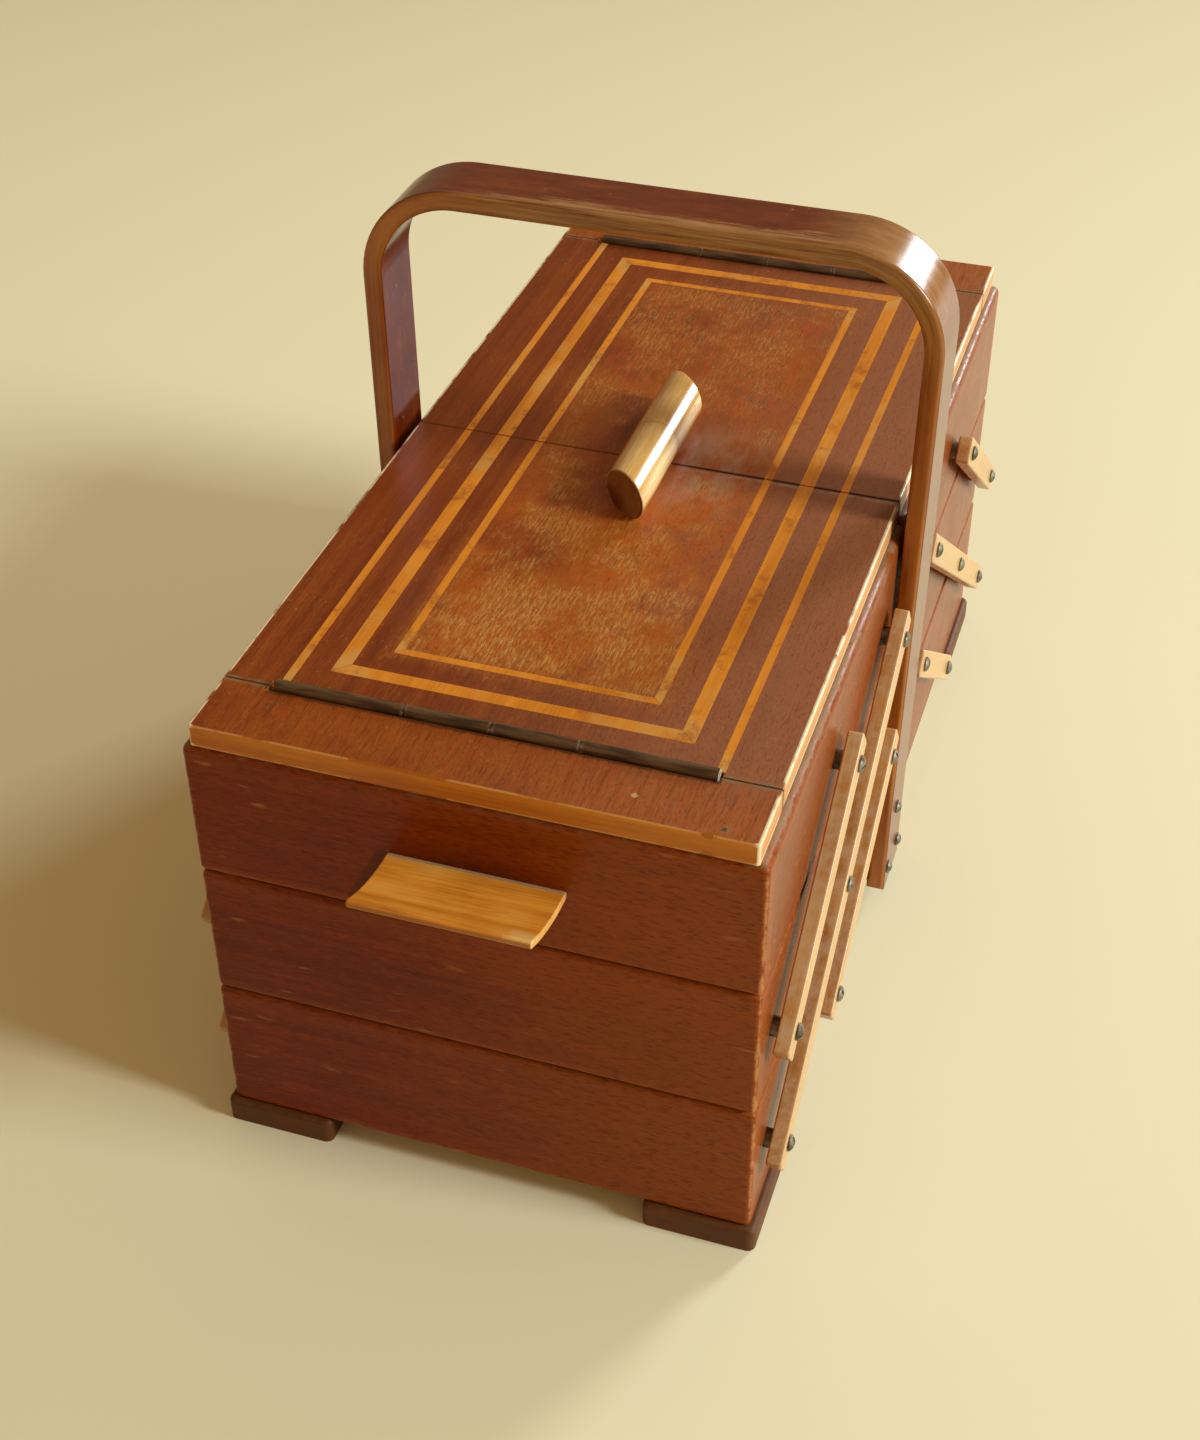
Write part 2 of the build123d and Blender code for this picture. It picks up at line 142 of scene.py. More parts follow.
class Graph:
    """Builds a material's nodes with one short call for each step that the finishes share."""

    def __init__(self, name: str) -> None:
        """Start an empty material.

        Args:
            name: The material's name.
        """
        self.material = bpy.data.materials.new(name)
        self.material.use_nodes = True
        self.tree = self.material.node_tree
        self.tree.nodes.clear()
        output = self.tree.nodes.new("ShaderNodeOutputMaterial")
        self.shader = self.tree.nodes.new("ShaderNodeBsdfPrincipled")
        self.tree.links.new(self.shader.outputs["BSDF"], output.inputs["Surface"])
        place = self.tree.nodes.new("ShaderNodeTexCoord")
        self.point: Socket = place.outputs["Object"]
        self.x, self.y, self.z = self.split(self.point)
        self.facing_x, self.facing_y, self.facing_z = self.split(place.outputs["Normal"])

    def feed(self, target: Socket, value: Value | Sequence[float]) -> None:
        """Link a socket to an input, or set the input to a number or a colour.

        Args:
            target: The input.
            value: The socket, the number or the colour.
        """
        if isinstance(value, bpy.types.NodeSocket):
            self.tree.links.new(value, target)
        elif isinstance(value, (int, float)):
            target.default_value = value
        else:
            wanted = len(target.default_value)
            target.default_value = (*value, 1.0)[:wanted]

    def split(self, vector: Socket) -> tuple[Socket, Socket, Socket]:
        """Take a vector apart.

        Args:
            vector: The vector.

        Returns:
            Its X, Y and Z.
        """
        node = self.tree.nodes.new("ShaderNodeSeparateXYZ")
        self.feed(node.inputs[0], vector)
        return tuple(node.outputs)

    def math(self, operation: str, *values: Value, clamp: bool = False) -> Socket:
        """One step of arithmetic.

        Args:
            operation: The name of the Math node's operation.
            values: Its inputs in order.
            clamp: Whether the result is kept from 0 to 1.

        Returns:
            The result.
        """
        node = self.tree.nodes.new("ShaderNodeMath")
        node.operation = operation
        node.use_clamp = clamp
        for target, value in zip(node.inputs, values):
            self.feed(target, value)
        return node.outputs[0]

    def chain(self, operation: str, *values: Value) -> Socket:
        """Several numbers joined one after another by one operation.

        Args:
            operation: The name of the Math node's operation.
            values: The numbers in order.

        Returns:
            The result.
        """
        result = values[0]
        for value in values[1:]:
            result = self.math(operation, result, value)
        return result

    def smallest(self, *values: Value) -> Socket:
        """The least of several numbers."""
        return self.chain("MINIMUM", *values)

    def largest(self, *values: Value) -> Socket:
        """The greatest of several numbers."""
        return self.chain("MAXIMUM", *values)

    def product(self, *values: Value) -> Socket:
        """Several numbers multiplied together."""
        return self.chain("MULTIPLY", *values)

    def minus(self, first: Value, second: Value) -> Socket:
        """The first number less the second."""
        return self.math("SUBTRACT", first, second)

    def times_plus(self, value: Value, factor: Value, offset: Value) -> Socket:
        """A number times a factor, plus an offset."""
        return self.math("MULTIPLY_ADD", value, factor, offset)

    def unsigned(self, value: Value) -> Socket:
        """A number without its sign."""
        return self.math("ABSOLUTE", value)

    def gap(self, value: Value, place: Value) -> Socket:
        """How far a number lies from a place, on either side."""
        return self.unsigned(self.minus(value, place))

    def length(self, first: Value, second: Value) -> Socket:
        """The length of a vector with two parts."""
        return self.math("SQRT", self.times_plus(first, first, self.product(second, second)))

    def noise(
        self,
        cells: Cells,
        detail: float = 3.0,
        roughness: float = 0.5,
        at: Socket | None = None,
        turn: float = 0.0,
    ) -> Socket:
        """Soft noise from 0 to 1.

        Args:
            cells: Its cells for each metre, on all axes alike or on each.
            detail: How many finer layers it has.
            roughness: How strong the finer layers are.
            at: Where it is read, or None for the shaded point.
            turn: A turn about Z, in radians, before the cells are drawn out.

        Returns:
            The noise's value.
        """
        place = self.point if at is None else at
        if isinstance(cells, tuple):
            mapping = self.tree.nodes.new("ShaderNodeMapping")
            mapping.vector_type = "POINT"
            self.feed(mapping.inputs["Vector"], place)
            mapping.inputs["Scale"].default_value = cells
            mapping.inputs["Rotation"].default_value = (0.0, 0.0, turn)
            place, cells = mapping.outputs[0], 1.0
        node = self.tree.nodes.new("ShaderNodeTexNoise")
        self.feed(node.inputs["Vector"], place)
        node.inputs["Scale"].default_value = cells
        node.inputs["Detail"].default_value = detail
        node.inputs["Roughness"].default_value = roughness
        return node.outputs["Fac"]

    def fade(self, value: Socket, start: float, end: float, top: float = 1.0) -> Socket:
        """A smooth step between two values of a number.

        Args:
            value: The number.
            start: Where the step is 0.
            end: Where it is top, above or below start.
            top: The step's full height.

        Returns:
            The step's height.
        """
        node = self.tree.nodes.new("ShaderNodeMapRange")
        node.interpolation_type = "SMOOTHSTEP"
        self.feed(node.inputs["Value"], value)
        rising = start < end
        node.inputs["From Min"].default_value = min(start, end)
        node.inputs["From Max"].default_value = max(start, end)
        node.inputs["To Min"].default_value = 0.0 if rising else top
        node.inputs["To Max"].default_value = top if rising else 0.0
        return node.outputs["Result"]

    def shows(self, pattern: Pattern) -> Socket:
        """How much a pattern shows, from 0 to its top."""
        noise = self.noise(pattern.cells, pattern.detail, pattern.roughness, turn=pattern.turn)
        return self.fade(noise, pattern.start, pattern.end, pattern.top)

    def scaled(self, value: Socket, low: float, high: float) -> Socket:
        """Spread a number from 0 to 1 over a range.

        Args:
            value: The number.
            low: What 0 becomes.
            high: What 1 becomes.

        Returns:
            The new number.
        """
        node = self.tree.nodes.new("ShaderNodeMapRange")
        self.feed(node.inputs["Value"], value)
        node.inputs["To Min"].default_value = low
        node.inputs["To Max"].default_value = high
        return node.outputs["Result"]

    def tones(self, value: Socket, *stops: tuple[float, Colour]) -> Socket:
        """Colours along a number from 0 to 1.

        Args:
            value: The number.
            stops: The two outer places on it with their colours, then any between them.

        Returns:
            The colour.
        """
        node = self.tree.nodes.new("ShaderNodeValToRGB")
        self.feed(node.inputs[0], value)
        ramp = node.color_ramp
        for index, (place, colour) in enumerate(stops):
            stop = ramp.elements[index] if index < 2 else ramp.elements.new(place)
            stop.position = place
            stop.color = (*colour, 1.0)
        return node.outputs["Color"]

    def mix(self, share: Value, under: Socket | Colour, over: Socket | Colour) -> Socket:
        """One colour laid over another.

        Args:
            share: How much of the upper colour shows.
            under: The lower colour.
            over: The upper colour.

        Returns:
            The mixed colour.
        """
        node = self.tree.nodes.new("ShaderNodeMix")
        node.data_type = "RGBA"
        node.clamp_factor = True
        self.feed(node.inputs[0], share)
        self.feed(node.inputs[6], under)
        self.feed(node.inputs[7], over)
        return node.outputs[2]

    def layers(self, base: Socket, *layers: tuple[Value, Socket | Colour]) -> Socket:
        """Lay colours over one another in turn.

        Args:
            base: The lowest colour.
            layers: Each upper colour after its share.

        Returns:
            The mixed colour.
        """
        for share, colour in layers:
            base = self.mix(share, base, colour)
        return base

    def insides(self, span: Span) -> tuple[Socket, Socket, Socket]:
        """How deep the point lies inside a box, from the nearer of its two faces on each axis."""
        places = zip((self.x, self.y, self.z), span.centre, span.half)
        return tuple(self.minus(half, self.gap(place, centre)) for place, centre, half in places)

    def arris(self, span: Span) -> Socket:
        """How far the point lies from the nearest edge of a box that it is on.

        Args:
            span: The box.

        Returns:
            The distance.
        """
        first, second, third = self.insides(span)
        low, high = self.smallest(first, second), self.largest(first, second)
        return self.largest(low, self.smallest(high, third))

    def bump(self, height: Socket, distance: float, under: Socket | None = None) -> Socket:
        """A bumped normal.

        Args:
            height: The height from 0 to 1.
            distance: What a height of 1 measures, in metres.
            under: A bumped normal to add it to.

        Returns:
            The new normal.
        """
        node = self.tree.nodes.new("ShaderNodeBump")
        node.inputs["Distance"].default_value = distance
        self.feed(node.inputs["Height"], height)
        if under is not None:
            self.feed(node.inputs["Normal"], under)
        return node.outputs[0]

    def finish(self, **inputs: Value | Colour) -> bpy.types.Material:
        """Set the shader's inputs.

        Args:
            inputs: Their values by name, with spaces written as underscores.

        Returns:
            The finished material.
        """
        for name, value in inputs.items():
            self.feed(self.shader.inputs[name.replace("_", " ")], value)
        return self.material


# ------------------------------------------------------------------------------------ finishes


@dataclass(frozen=True)
class Fibres:
    """The figure of a wood: its streaks, fibres and pores for each metre along and across."""

    streak: tuple[float, float] = (5.0, 210.0)
    fibre: tuple[float, float] = (34.0, 1500.0)
    pore: tuple[float, float] = (110.0, 2300.0)
    mottle: float = 17.0

    def figure(self, graph: Graph, grain: Grain) -> Socket:
        """Streaks, fibres and slow mottling together.

        Args:
            graph: The material's nodes.
            grain: The way of the fibres.

        Returns:
            The figure from 0 to 1.
        """
        streaks = graph.noise(grain.drawn(*self.streak), 4.0, 0.6)
        fibres = graph.noise(grain.drawn(*self.fibre), 2.0, 0.6)
        total = graph.times_plus(fibres, 0.28, graph.product(streaks, 0.5))
        return graph.times_plus(graph.noise(self.mottle), 0.3, total)

    def pores(self, graph: Graph, grain: Grain) -> Socket:
        """Short open pores, 1 where one lies."""
        return graph.fade(graph.noise(grain.drawn(*self.pore), 1.0, 0.6), 0.60, 0.72)


MAHOGANY = Fibres()
BEECH = Fibres(streak=(4.0, 150.0), fibre=(60.0, 1300.0), pore=(240.0, 2600.0), mottle=24.0)


@dataclass(frozen=True)
class PullShadeAndBand:
    """Painted shade on an end wall above its pull's root, where the pull keeps the light off, and a
    dark band beside the pull.
    """

    shadow: Colour = (0.060, 0.007, 0.0008)
    root_height: float = 3.0 * MM
    above: Ramp = (9.0 * MM, 1.0 * MM, 0.50)
    past_end: Ramp = (3.0 * MM, -26.0 * MM, 1.0)
    band: Ramp = (5.0 * MM, 2.6 * MM, 0.60)
    band_lean: float = 0.5
    band_wander: float = 1.4 * MM
    band_reach: Ramp = (-27.0 * MM, -21.0 * MM, 1.0)

    def lay(self, graph: Graph, colour: Socket, span: Span, pull: Span) -> Socket:
        """Paint the shade and the band on the wall.

        Args:
            graph: The material's nodes.
            colour: The wall's colour.
            span: The outside of the box.
            pull: The pull's box.

        Returns:
            The wall's colour with the painted shade and the band.
        """
        on_end = graph.fade(graph.unsigned(graph.x), span.half.x - 2.0 * MM, span.half.x)
        along = graph.minus(graph.gap(graph.y, pull.centre.y), pull.half.y)
        above = graph.minus(graph.z, pull.low.z + self.root_height)
        # painted shade: darker just above the pull's root, fading upwards
        painted_shade = graph.product(
            graph.fade(above, *self.above),
            graph.fade(above, -2.0 * MM, 0.0),
            graph.fade(along, *self.past_end),
        )
        beside = graph.minus(graph.y, pull.high.y)
        wander = graph.scaled(graph.noise(150.0, 4.0), -self.band_wander, self.band_wander)
        across_band = graph.math("ADD", graph.times_plus(above, self.band_lean, beside), wander)
        band = graph.product(
            graph.fade(across_band, *self.band),
            graph.fade(beside, 0.2 * MM, 1.2 * MM),
            graph.fade(above, 3.0 * MM, -1.0 * MM),
            graph.fade(above, *self.band_reach),
            on_end,
        )
        return graph.layers(colour, (painted_shade, self.shadow), (band, self.shadow))


@dataclass(frozen=True)
class StainedBoard:
    """Red-brown stained and lacquered wood, rubbed at its arrises and dusty on its rim."""

    dark: Colour = (0.085, 0.008, 0.0004)
    middle: Colour = (0.165, 0.019, 0.0008)
    light: Colour = (0.250, 0.037, 0.0018)
    # the colour of the painted highlights along the walls and of the pale grit
    glow: Colour = (0.300, 0.062, 0.004)
    # painted light: the paler tint of the side that faces the window
    lit_side_tint: Colour = (0.270, 0.078, 0.016)
    rubbed: Colour = (0.520, 0.230, 0.070)
    dust: Colour = (0.270, 0.170, 0.090)
    bare_dark: Colour = (0.330, 0.185, 0.080)
    bare_light: Colour = (0.560, 0.360, 0.180)
    wall: float = 8.0 * MM
    dustiness: float = 0.0
    # painted light: where the paler tint towards the lit front (-Y) side begins, where it is full
    # and how strong it is
    sun: Ramp = (70.0 * MM, -110.0 * MM, 0.60)
    # painted highlights: lighter bands along the bottom and the top of each wall where its arrises
    # catch the light; the cloud tone is random
    floor_highlight: Ramp = (5.0 * MM, 0.8 * MM, 0.65)
    rim_highlight: Ramp = (12.0 * MM, 4.0 * MM, 0.30)
    cloud_tone: Ramp = (0.52, 0.72, 0.28)
    corner_wear: Ramp = (0.7 * MM, 0.0, 0.75)
    level_wear: Ramp = (0.7 * MM, 0.0, 0.16)
    grit: tuple[float, float] = (230.0, 1150.0)
    dark_grit: Ramp = (0.48, 0.66, 0.48)
    pale_grit: Ramp = (0.44, 0.30, 0.35)
    scuffs: Pattern = Pattern((260.0, 60.0, 300.0), 2.0, start=0.64, end=0.76, turn=0.5)
    scuffed: Pattern = Pattern(30.0, 2.0, start=0.48, end=0.62, top=0.5)

    def build(
        self, name: str, span: Span, grain: Grain, pull: Span | None = None
    ) -> bpy.types.Material:
        """The finish for the walls of one box.

        Args:
            name: The material's name.
            span: The outside of the box.
            grain: The way of these walls' fibres.
            pull: The box of the pull that the wall carries, or None.

        Returns:
            The material.
        """
        graph = Graph(name)
        figure, pores = MAHOGANY.figure(graph, grain), MAHOGANY.pores(graph, grain)
        colour = graph.tones(figure, (0.34, self.dark), (0.72, self.light), (0.52, self.middle))
        clouds = graph.noise(11.0, 3.0, 0.6)
        from_floor = graph.minus(graph.z, span.low.z)
        from_rim = graph.minus(span.high.z, graph.z)
        # painted highlight along the bottom and the top of each wall, mixed with random lighter
        # clouds
        highlight_and_clouds = graph.largest(
            graph.product(graph.fade(from_floor, *self.floor_highlight), graph.fade(clouds, 0.3, 0.6)),
            graph.fade(from_rim, *self.rim_highlight),
            graph.fade(clouds, *self.cloud_tone),
        )
        inside_x, inside_y, _ = graph.insides(span)
        worn_width = graph.times_plus(graph.noise(130.0, 5.0, 0.7), 4.4 * MM, -1.7 * MM)
        from_corner = graph.largest(inside_x, inside_y)
        from_level = graph.smallest(from_floor, from_rim)
        rubbing = graph.largest(
            graph.fade(graph.minus(from_corner, worn_width), *self.corner_wear),
            graph.fade(graph.minus(from_level, worn_width), *self.level_wear),
        )
        grit = graph.noise(grain.drawn(*self.grit), 3.0, 0.7)
        colour = graph.layers(
            colour,
            (graph.product(pores, 0.55), self.dark),
            (graph.fade(graph.y, *self.sun), self.lit_side_tint),
            # painted light: the walls turn paler towards the lit front (-Y) side, standing in for
            # the window's light and sheen
            (highlight_and_clouds, self.glow),
            (rubbing, self.rubbed),
            (graph.fade(grit, *self.dark_grit), self.dark),
            (graph.fade(grit, *self.pale_grit), self.glow),
            (graph.product(graph.shows(self.scuffs), graph.shows(self.scuffed)), self.rubbed),
        )
        # painted shade above the end pull, and a dark band beside it
        if pull is not None:
            colour = PullShadeAndBand().lay(graph, colour, span, pull)

        within = graph.smallest(inside_x, inside_y)
        inside = graph.fade(within, self.wall - 0.8 * MM, self.wall - 0.2 * MM)
        bare_figure = BEECH.figure(graph, grain)
        bare = graph.tones(bare_figure, (0.38, self.bare_dark), (0.64, self.bare_light))
        dust_noise = graph.noise(170.0, 5.0, 0.7)
        sheltered = graph.times_plus(graph.fade(within, 0.6 * MM, 4.0 * MM), 0.22, dust_noise)
        settled = graph.product(
            graph.fade(graph.facing_z, 0.3, 0.8), graph.fade(sheltered, 0.42, 0.72, self.dustiness)
        )
        colour = graph.layers(colour, (inside, bare), (settled, self.dust))

        sheen = graph.scaled(graph.noise(55.0, 4.0), 0.22, 0.36)
        rough = graph.largest(sheen, graph.scaled(graph.largest(settled, inside), 0.2, 0.75))
        relief = graph.bump(figure, 0.05 * MM)
        relief = graph.bump(graph.minus(1.0, pores), 0.03 * MM, relief)
        return graph.finish(
            Base_Color=colour, Roughness=rough, Normal=relief, Specular_IOR_Level=0.15
        )


@dataclass(frozen=True)
class Spot:
    """A small round mark on the top of a board."""

    x: float
    y: float
    radius: float
    colour: Colour


@dataclass(frozen=True)
class LidVeneer:
    """Veneered lid boards: a worn stained face over unstained edges."""

    dark: Colour = (0.105, 0.014, 0.0010)
    middle: Colour = (0.195, 0.032, 0.0024)
    light: Colour = (0.290, 0.062, 0.0050)
    # painted reflection: the greyish tint of the window's sheen on the front (-Y) part of the
    # boards
    lit_side_tint: Colour = (0.360, 0.150, 0.068)
    amber: Colour = (0.430, 0.105, 0.0060)
    golden: Colour = (0.520, 0.240, 0.048)
    speck: Colour = (0.540, 0.330, 0.120)
    red: Colour = (0.420, 0.060, 0.006)
    darkening: Colour = (0.060, 0.022, 0.008)
    haze: Colour = (0.400, 0.250, 0.160)
    dust: Colour = (0.230, 0.150, 0.075)
    edge_dark: Colour = (0.400, 0.105, 0.005)
    edge_light: Colour = (0.660, 0.225, 0.014)
    # painted light: the paler colour of edge faces turned to the long sides, standing in for the
    # window's glare
    edge_lit: Colour = (0.640, 0.330, 0.130)
    arris: Colour = (0.740, 0.400, 0.120)
    arris_pale: Colour = (0.880, 0.700, 0.420)
    gilding: float = 0.72
    flame: float = 0.0
    chip: tuple[float, float] = (0.0, 0.0)
    chip_depth: float = 0.7 * MM
    spots: tuple[Spot, ...] = ()
    hinge_x: float = 174.7 * MM
    bar_y: float = -22.0 * MM
    joint_x: float = -2.0 * MM
    sun: Ramp = (60.0 * MM, -105.0 * MM, 0.60)
    amber_clouds: Pattern = Pattern(24.0, 4.0, 0.65, 0.30, 0.58, 0.85)
    red_streaks: Pattern = Pattern((46.0, 420.0, 90.0), 5.0, 0.7, 0.46, 0.66, 0.55)
    soot: Pattern = Pattern((55.0, 640.0, 90.0), 4.0, 0.7, 0.46, 0.70, 0.8)
    flecks: Pattern = Pattern((185.0, 900.0, 90.0), 3.0, 0.65, 0.42, 0.64)
    grit: Pattern = Pattern((620.0, 1500.0, 620.0), 2.0, 0.5, 0.54, 0.68, 0.34)
    specks: Pattern = Pattern((420.0, 760.0, 500.0), 3.0, 0.5, 0.62, 0.74)
    smears: Pattern = Pattern((60.0, 150.0, 60.0), 5.0, 0.65, 0.38, 0.66, 0.55)
    arris_breaks: Pattern = Pattern(120.0, 3.0, 0.5, 0.30, 0.50)

    def face(self, graph: Graph, field_span: Span) -> tuple[Socket, Socket]:
        """The worn face.

        Args:
            graph: The material's nodes.
            field_span: The part of it that hands have rubbed most.

        Returns:
            Its colour, and how worn it is from 0 to 1.
        """
        figure, pores = MAHOGANY.figure(graph, Grain.ALONG), MAHOGANY.pores(graph, Grain.ALONG)
        face = graph.tones(figure, (0.32, self.dark), (0.74, self.light), (0.52, self.middle))
        field_x, field_y, _ = graph.insides(field_span)
        in_field = graph.fade(graph.smallest(field_x, field_y), -10.0 * MM, 8.0 * MM)
        heat = graph.largest(in_field, self.flame)
        from_middle = graph.unsigned(graph.x)

        patches = graph.noise(36.0, 5.0, 0.7)
        patches = graph.times_plus(graph.fade(from_middle, 40.0 * MM, 140.0 * MM), 0.13, patches)
        patches = graph.times_plus(graph.fade(graph.y, -45.0 * MM, 20.0 * MM), 0.05, patches)
        clumped = graph.fade(patches, 0.495, 0.71)
        held = graph.times_plus(in_field, 0.92, 0.08)
        worn = graph.product(clumped, graph.shows(self.flecks), held)
        golden = graph.math("ADD", worn, graph.product(clumped, in_field, 0.18), clamp=True)
        scatter = graph.times_plus(worn, 0.8, graph.fade(patches, 0.50, 0.70, 0.22))
        near_bar = graph.gap(graph.y, self.bar_y)
        hazy = graph.product(
            graph.fade(from_middle, 42.0 * MM, 8.0 * MM),
            graph.fade(near_bar, 26.0 * MM, 6.0 * MM),
            graph.shows(self.smears),
        )
        face = graph.layers(
            face,
            # painted reflection: the boards turn paler and greyer towards the lit front (-Y) side
            (graph.fade(graph.y, *self.sun), self.lit_side_tint),
            (graph.product(heat, graph.shows(self.amber_clouds)), self.amber),
            (graph.product(heat, graph.shows(self.red_streaks)), self.red),
            (graph.product(self.flame, graph.shows(self.soot)), self.dark),
            (graph.product(golden, self.gilding), self.golden),
            (graph.shows(self.grit), self.dark),
            (graph.product(pores, 0.42), self.dark),
            (graph.product(graph.shows(self.specks), scatter, 0.75), self.speck),
            (hazy, self.haze),
        )
        return face, worn

    def darkened_face(
        self, graph: Graph, face: Socket, ragged: Socket, dressings: Sequence[Span]
    ) -> Socket:
        """The face darkened in a ragged band beside its metal, and with its own marks.

        Args:
            graph: The material's nodes.
            face: The face's colour.
            ragged: The noise that breaks up the grime's outline.
            dressings: Boxes round the metal that the face darkens beside.

        Returns:
            The new colour.
        """
        # darker in a ragged band round the hinge barrel
        for dressing in dressings:
            near_x, near_y, _ = graph.insides(dressing)
            near = graph.product(graph.smallest(near_x, near_y), -1.0)
            beyond = graph.minus(near, graph.times_plus(ragged, 3.6 * MM, -0.9 * MM))
            face = graph.mix(graph.fade(beyond, 1.2 * MM, 0.0, 0.75), face, self.darkening)
        torn = graph.noise(520.0, 3.0, 0.6)
        for spot in self.spots:
            away = graph.length(graph.minus(graph.x, spot.x), graph.minus(graph.y, spot.y))
            away = graph.minus(graph.times_plus(torn, 4.0 * MM, away), 2.0 * MM)
            marked = graph.fade(away, spot.radius, 0.3 * spot.radius, 0.75)
            face = graph.mix(marked, face, spot.colour)
        return face

    def build(
        self, name: str, span: Span, field_span: Span, dressings: Sequence[Span] = ()
    ) -> bpy.types.Material:
        """The finish for one board.

        Args:
            name: The material's name.
            span: The whole board.
            field_span: The part of it that hands have rubbed most.
            dressings: Boxes round the metal that the face darkens beside.

        Returns:
            The material.
        """
        graph = Graph(name)
        face, worn = self.face(graph, field_span)
        ragged = graph.noise(210.0, 4.0, 0.7)
        face = self.darkened_face(graph, face, ragged, dressings)

        below_top = graph.minus(span.high.z, graph.z)
        shaded = graph.times_plus(
            graph.fade(below_top, 1.0 * MM, 7.5 * MM), -0.14, BEECH.figure(graph, Grain.ACROSS)
        )
        edging = graph.tones(shaded, (0.30, self.edge_dark), (0.60, self.edge_light))
        # painted light: edge faces turned to the long sides are paler, as if lit by the window
        lit_facing = graph.fade(graph.unsigned(graph.facing_y), 0.35, 0.80)
        edging = graph.mix(graph.product(lit_facing, 0.8), edging, self.edge_lit)
        side = graph.largest(
            graph.fade(graph.facing_z, 0.9, 0.55), graph.fade(below_top, 0.4 * MM, 0.75 * MM)
        )

        edge = graph.arris(span)
        _, from_side, _ = graph.insides(span)
        along_side = graph.fade(from_side, 2.5 * MM, 1.0 * MM)
        chips = graph.fade(graph.noise((70.0, 70.0, 0.0), 5.0, 0.65), 0.60, 0.68, 1.1 * MM)
        chip_reach = graph.product(chips, graph.scaled(along_side, 1.0, 0.0))
        low, high = self.chip
        if high > low:
            bite = graph.product(
                graph.fade(graph.y, low, low + 4.0 * MM), graph.fade(graph.y, high, high - 1.0 * MM)
            )
            chip_reach = graph.times_plus(bite, self.chip_depth, chip_reach)
        within = graph.minus(edge, chip_reach)
        chipped = graph.product(
            graph.fade(within, 0.12 * MM, 0.0), graph.fade(chip_reach, 0.1 * MM, 0.4 * MM)
        )
        lifted = graph.product(
            graph.fade(graph.gap(within, 0.25 * MM), 0.30 * MM, 0.05 * MM),
            graph.fade(chip_reach, 0.9 * MM, 1.4 * MM),
        )
        from_middle = graph.unsigned(graph.x)
        from_hinge = graph.gap(from_middle, self.hinge_x)
        from_joint = graph.smallest(from_middle, from_hinge)
        line_place = graph.minus(edge, graph.product(along_side, 0.5 * MM))
        line = graph.product(
            graph.fade(line_place, 0.75 * MM, 0.30 * MM),
            graph.shows(self.arris_breaks),
            graph.fade(from_joint, 2.0 * MM, 5.0 * MM),
            graph.fade(chip_reach, 0.6 * MM, 0.1 * MM),
            graph.scaled(along_side, 0.55, 0.9),
        )
        clear = graph.product(
            graph.fade(graph.gap(graph.x, self.joint_x), 1.3 * MM, 0.5 * MM, 0.6),
            graph.fade(graph.y, -8.0 * MM, -20.0 * MM),
            graph.fade(ragged, 0.35, 0.6),
        )
        gathered = graph.scaled(graph.fade(graph.y, 0.0, -20.0 * MM), 0.30, 0.85)
        colour = graph.layers(
            face,
            (side, edging),
            (graph.product(chipped, 0.65), self.edge_dark),
            (line, graph.mix(along_side, self.arris, self.arris_pale)),
            (graph.product(lifted, 0.8), self.darkening),
            (clear, self.haze),
            (graph.product(graph.fade(from_middle, 1.3 * MM, 0.5 * MM), gathered), self.darkening),
            (
                graph.product(
                    graph.fade(from_hinge, 2.2 * MM, 0.8 * MM), graph.fade(ragged, 0.30, 0.55, 0.8)
                ),
                self.dust,
            ),
        )

        sheen = graph.scaled(graph.noise(34.0, 4.0), 0.32, 0.48)
        rough = graph.times_plus(line, -0.20, graph.times_plus(worn, 0.10, sheen))
        relief = graph.bump(worn, 0.06 * MM)
        relief = graph.bump(graph.minus(1.0, chipped), 0.07 * MM, relief)
        return graph.finish(
            Base_Color=colour, Roughness=rough, Normal=relief, Specular_IOR_Level=0.26
        )


@dataclass(frozen=True)
class InlayString:
    """Pale strings let into the lids, lightly smudged by the stain beside them."""

    dark: Colour = (0.450, 0.125, 0.007)
    light: Colour = (0.720, 0.255, 0.018)
    yellow: Colour = (0.600, 0.300, 0.065)
    smudge: Colour = (0.280, 0.060, 0.006)
    mitre_line: Colour = (0.150, 0.045, 0.010)
    mitre: Ramp = (0.30 * MM, 0.0, 0.7)
    worn: Pattern = Pattern(34.0, 4.0, 0.6, 0.52, 0.68, 0.7)
    smudges: Pattern = Pattern(75.0, 5.0, 0.75, 0.52, 0.68, 0.60)

    def build(self, name: str, corner: Vector) -> bpy.types.Material:
        """The finish for one lid's strings.

        Args:
            name: The material's name.
            corner: Where the thick band's outer edges meet, with X and Y taken as positive.

        Returns:
            The material.
        """
        graph = Graph(name)
        from_end = graph.minus(corner.x, graph.unsigned(graph.x))
        from_side = graph.minus(corner.y, graph.unsigned(graph.y))
        past = graph.minus(from_end, from_side)
        past_mitre = graph.product(
            graph.fade(past, -0.5 * MM, 0.0), graph.fade(past, 14.0 * MM, 5.0 * MM), 0.8
        )
        figure = BEECH.figure(graph, Grain.ALONG)
        colour = graph.layers(
            graph.tones(figure, (0.32, self.dark), (0.62, self.light)),
            (graph.largest(graph.shows(self.worn), past_mitre), self.yellow),
            (graph.shows(self.smudges), self.smudge),
            (graph.fade(graph.unsigned(past), *self.mitre), self.mitre_line),
        )
        rough = graph.scaled(graph.noise(80.0), 0.32, 0.5)
        relief = graph.bump(figure, 0.10 * MM)
        return graph.finish(
            Base_Color=colour, Roughness=rough, Normal=relief, Specular_IOR_Level=0.26
        )


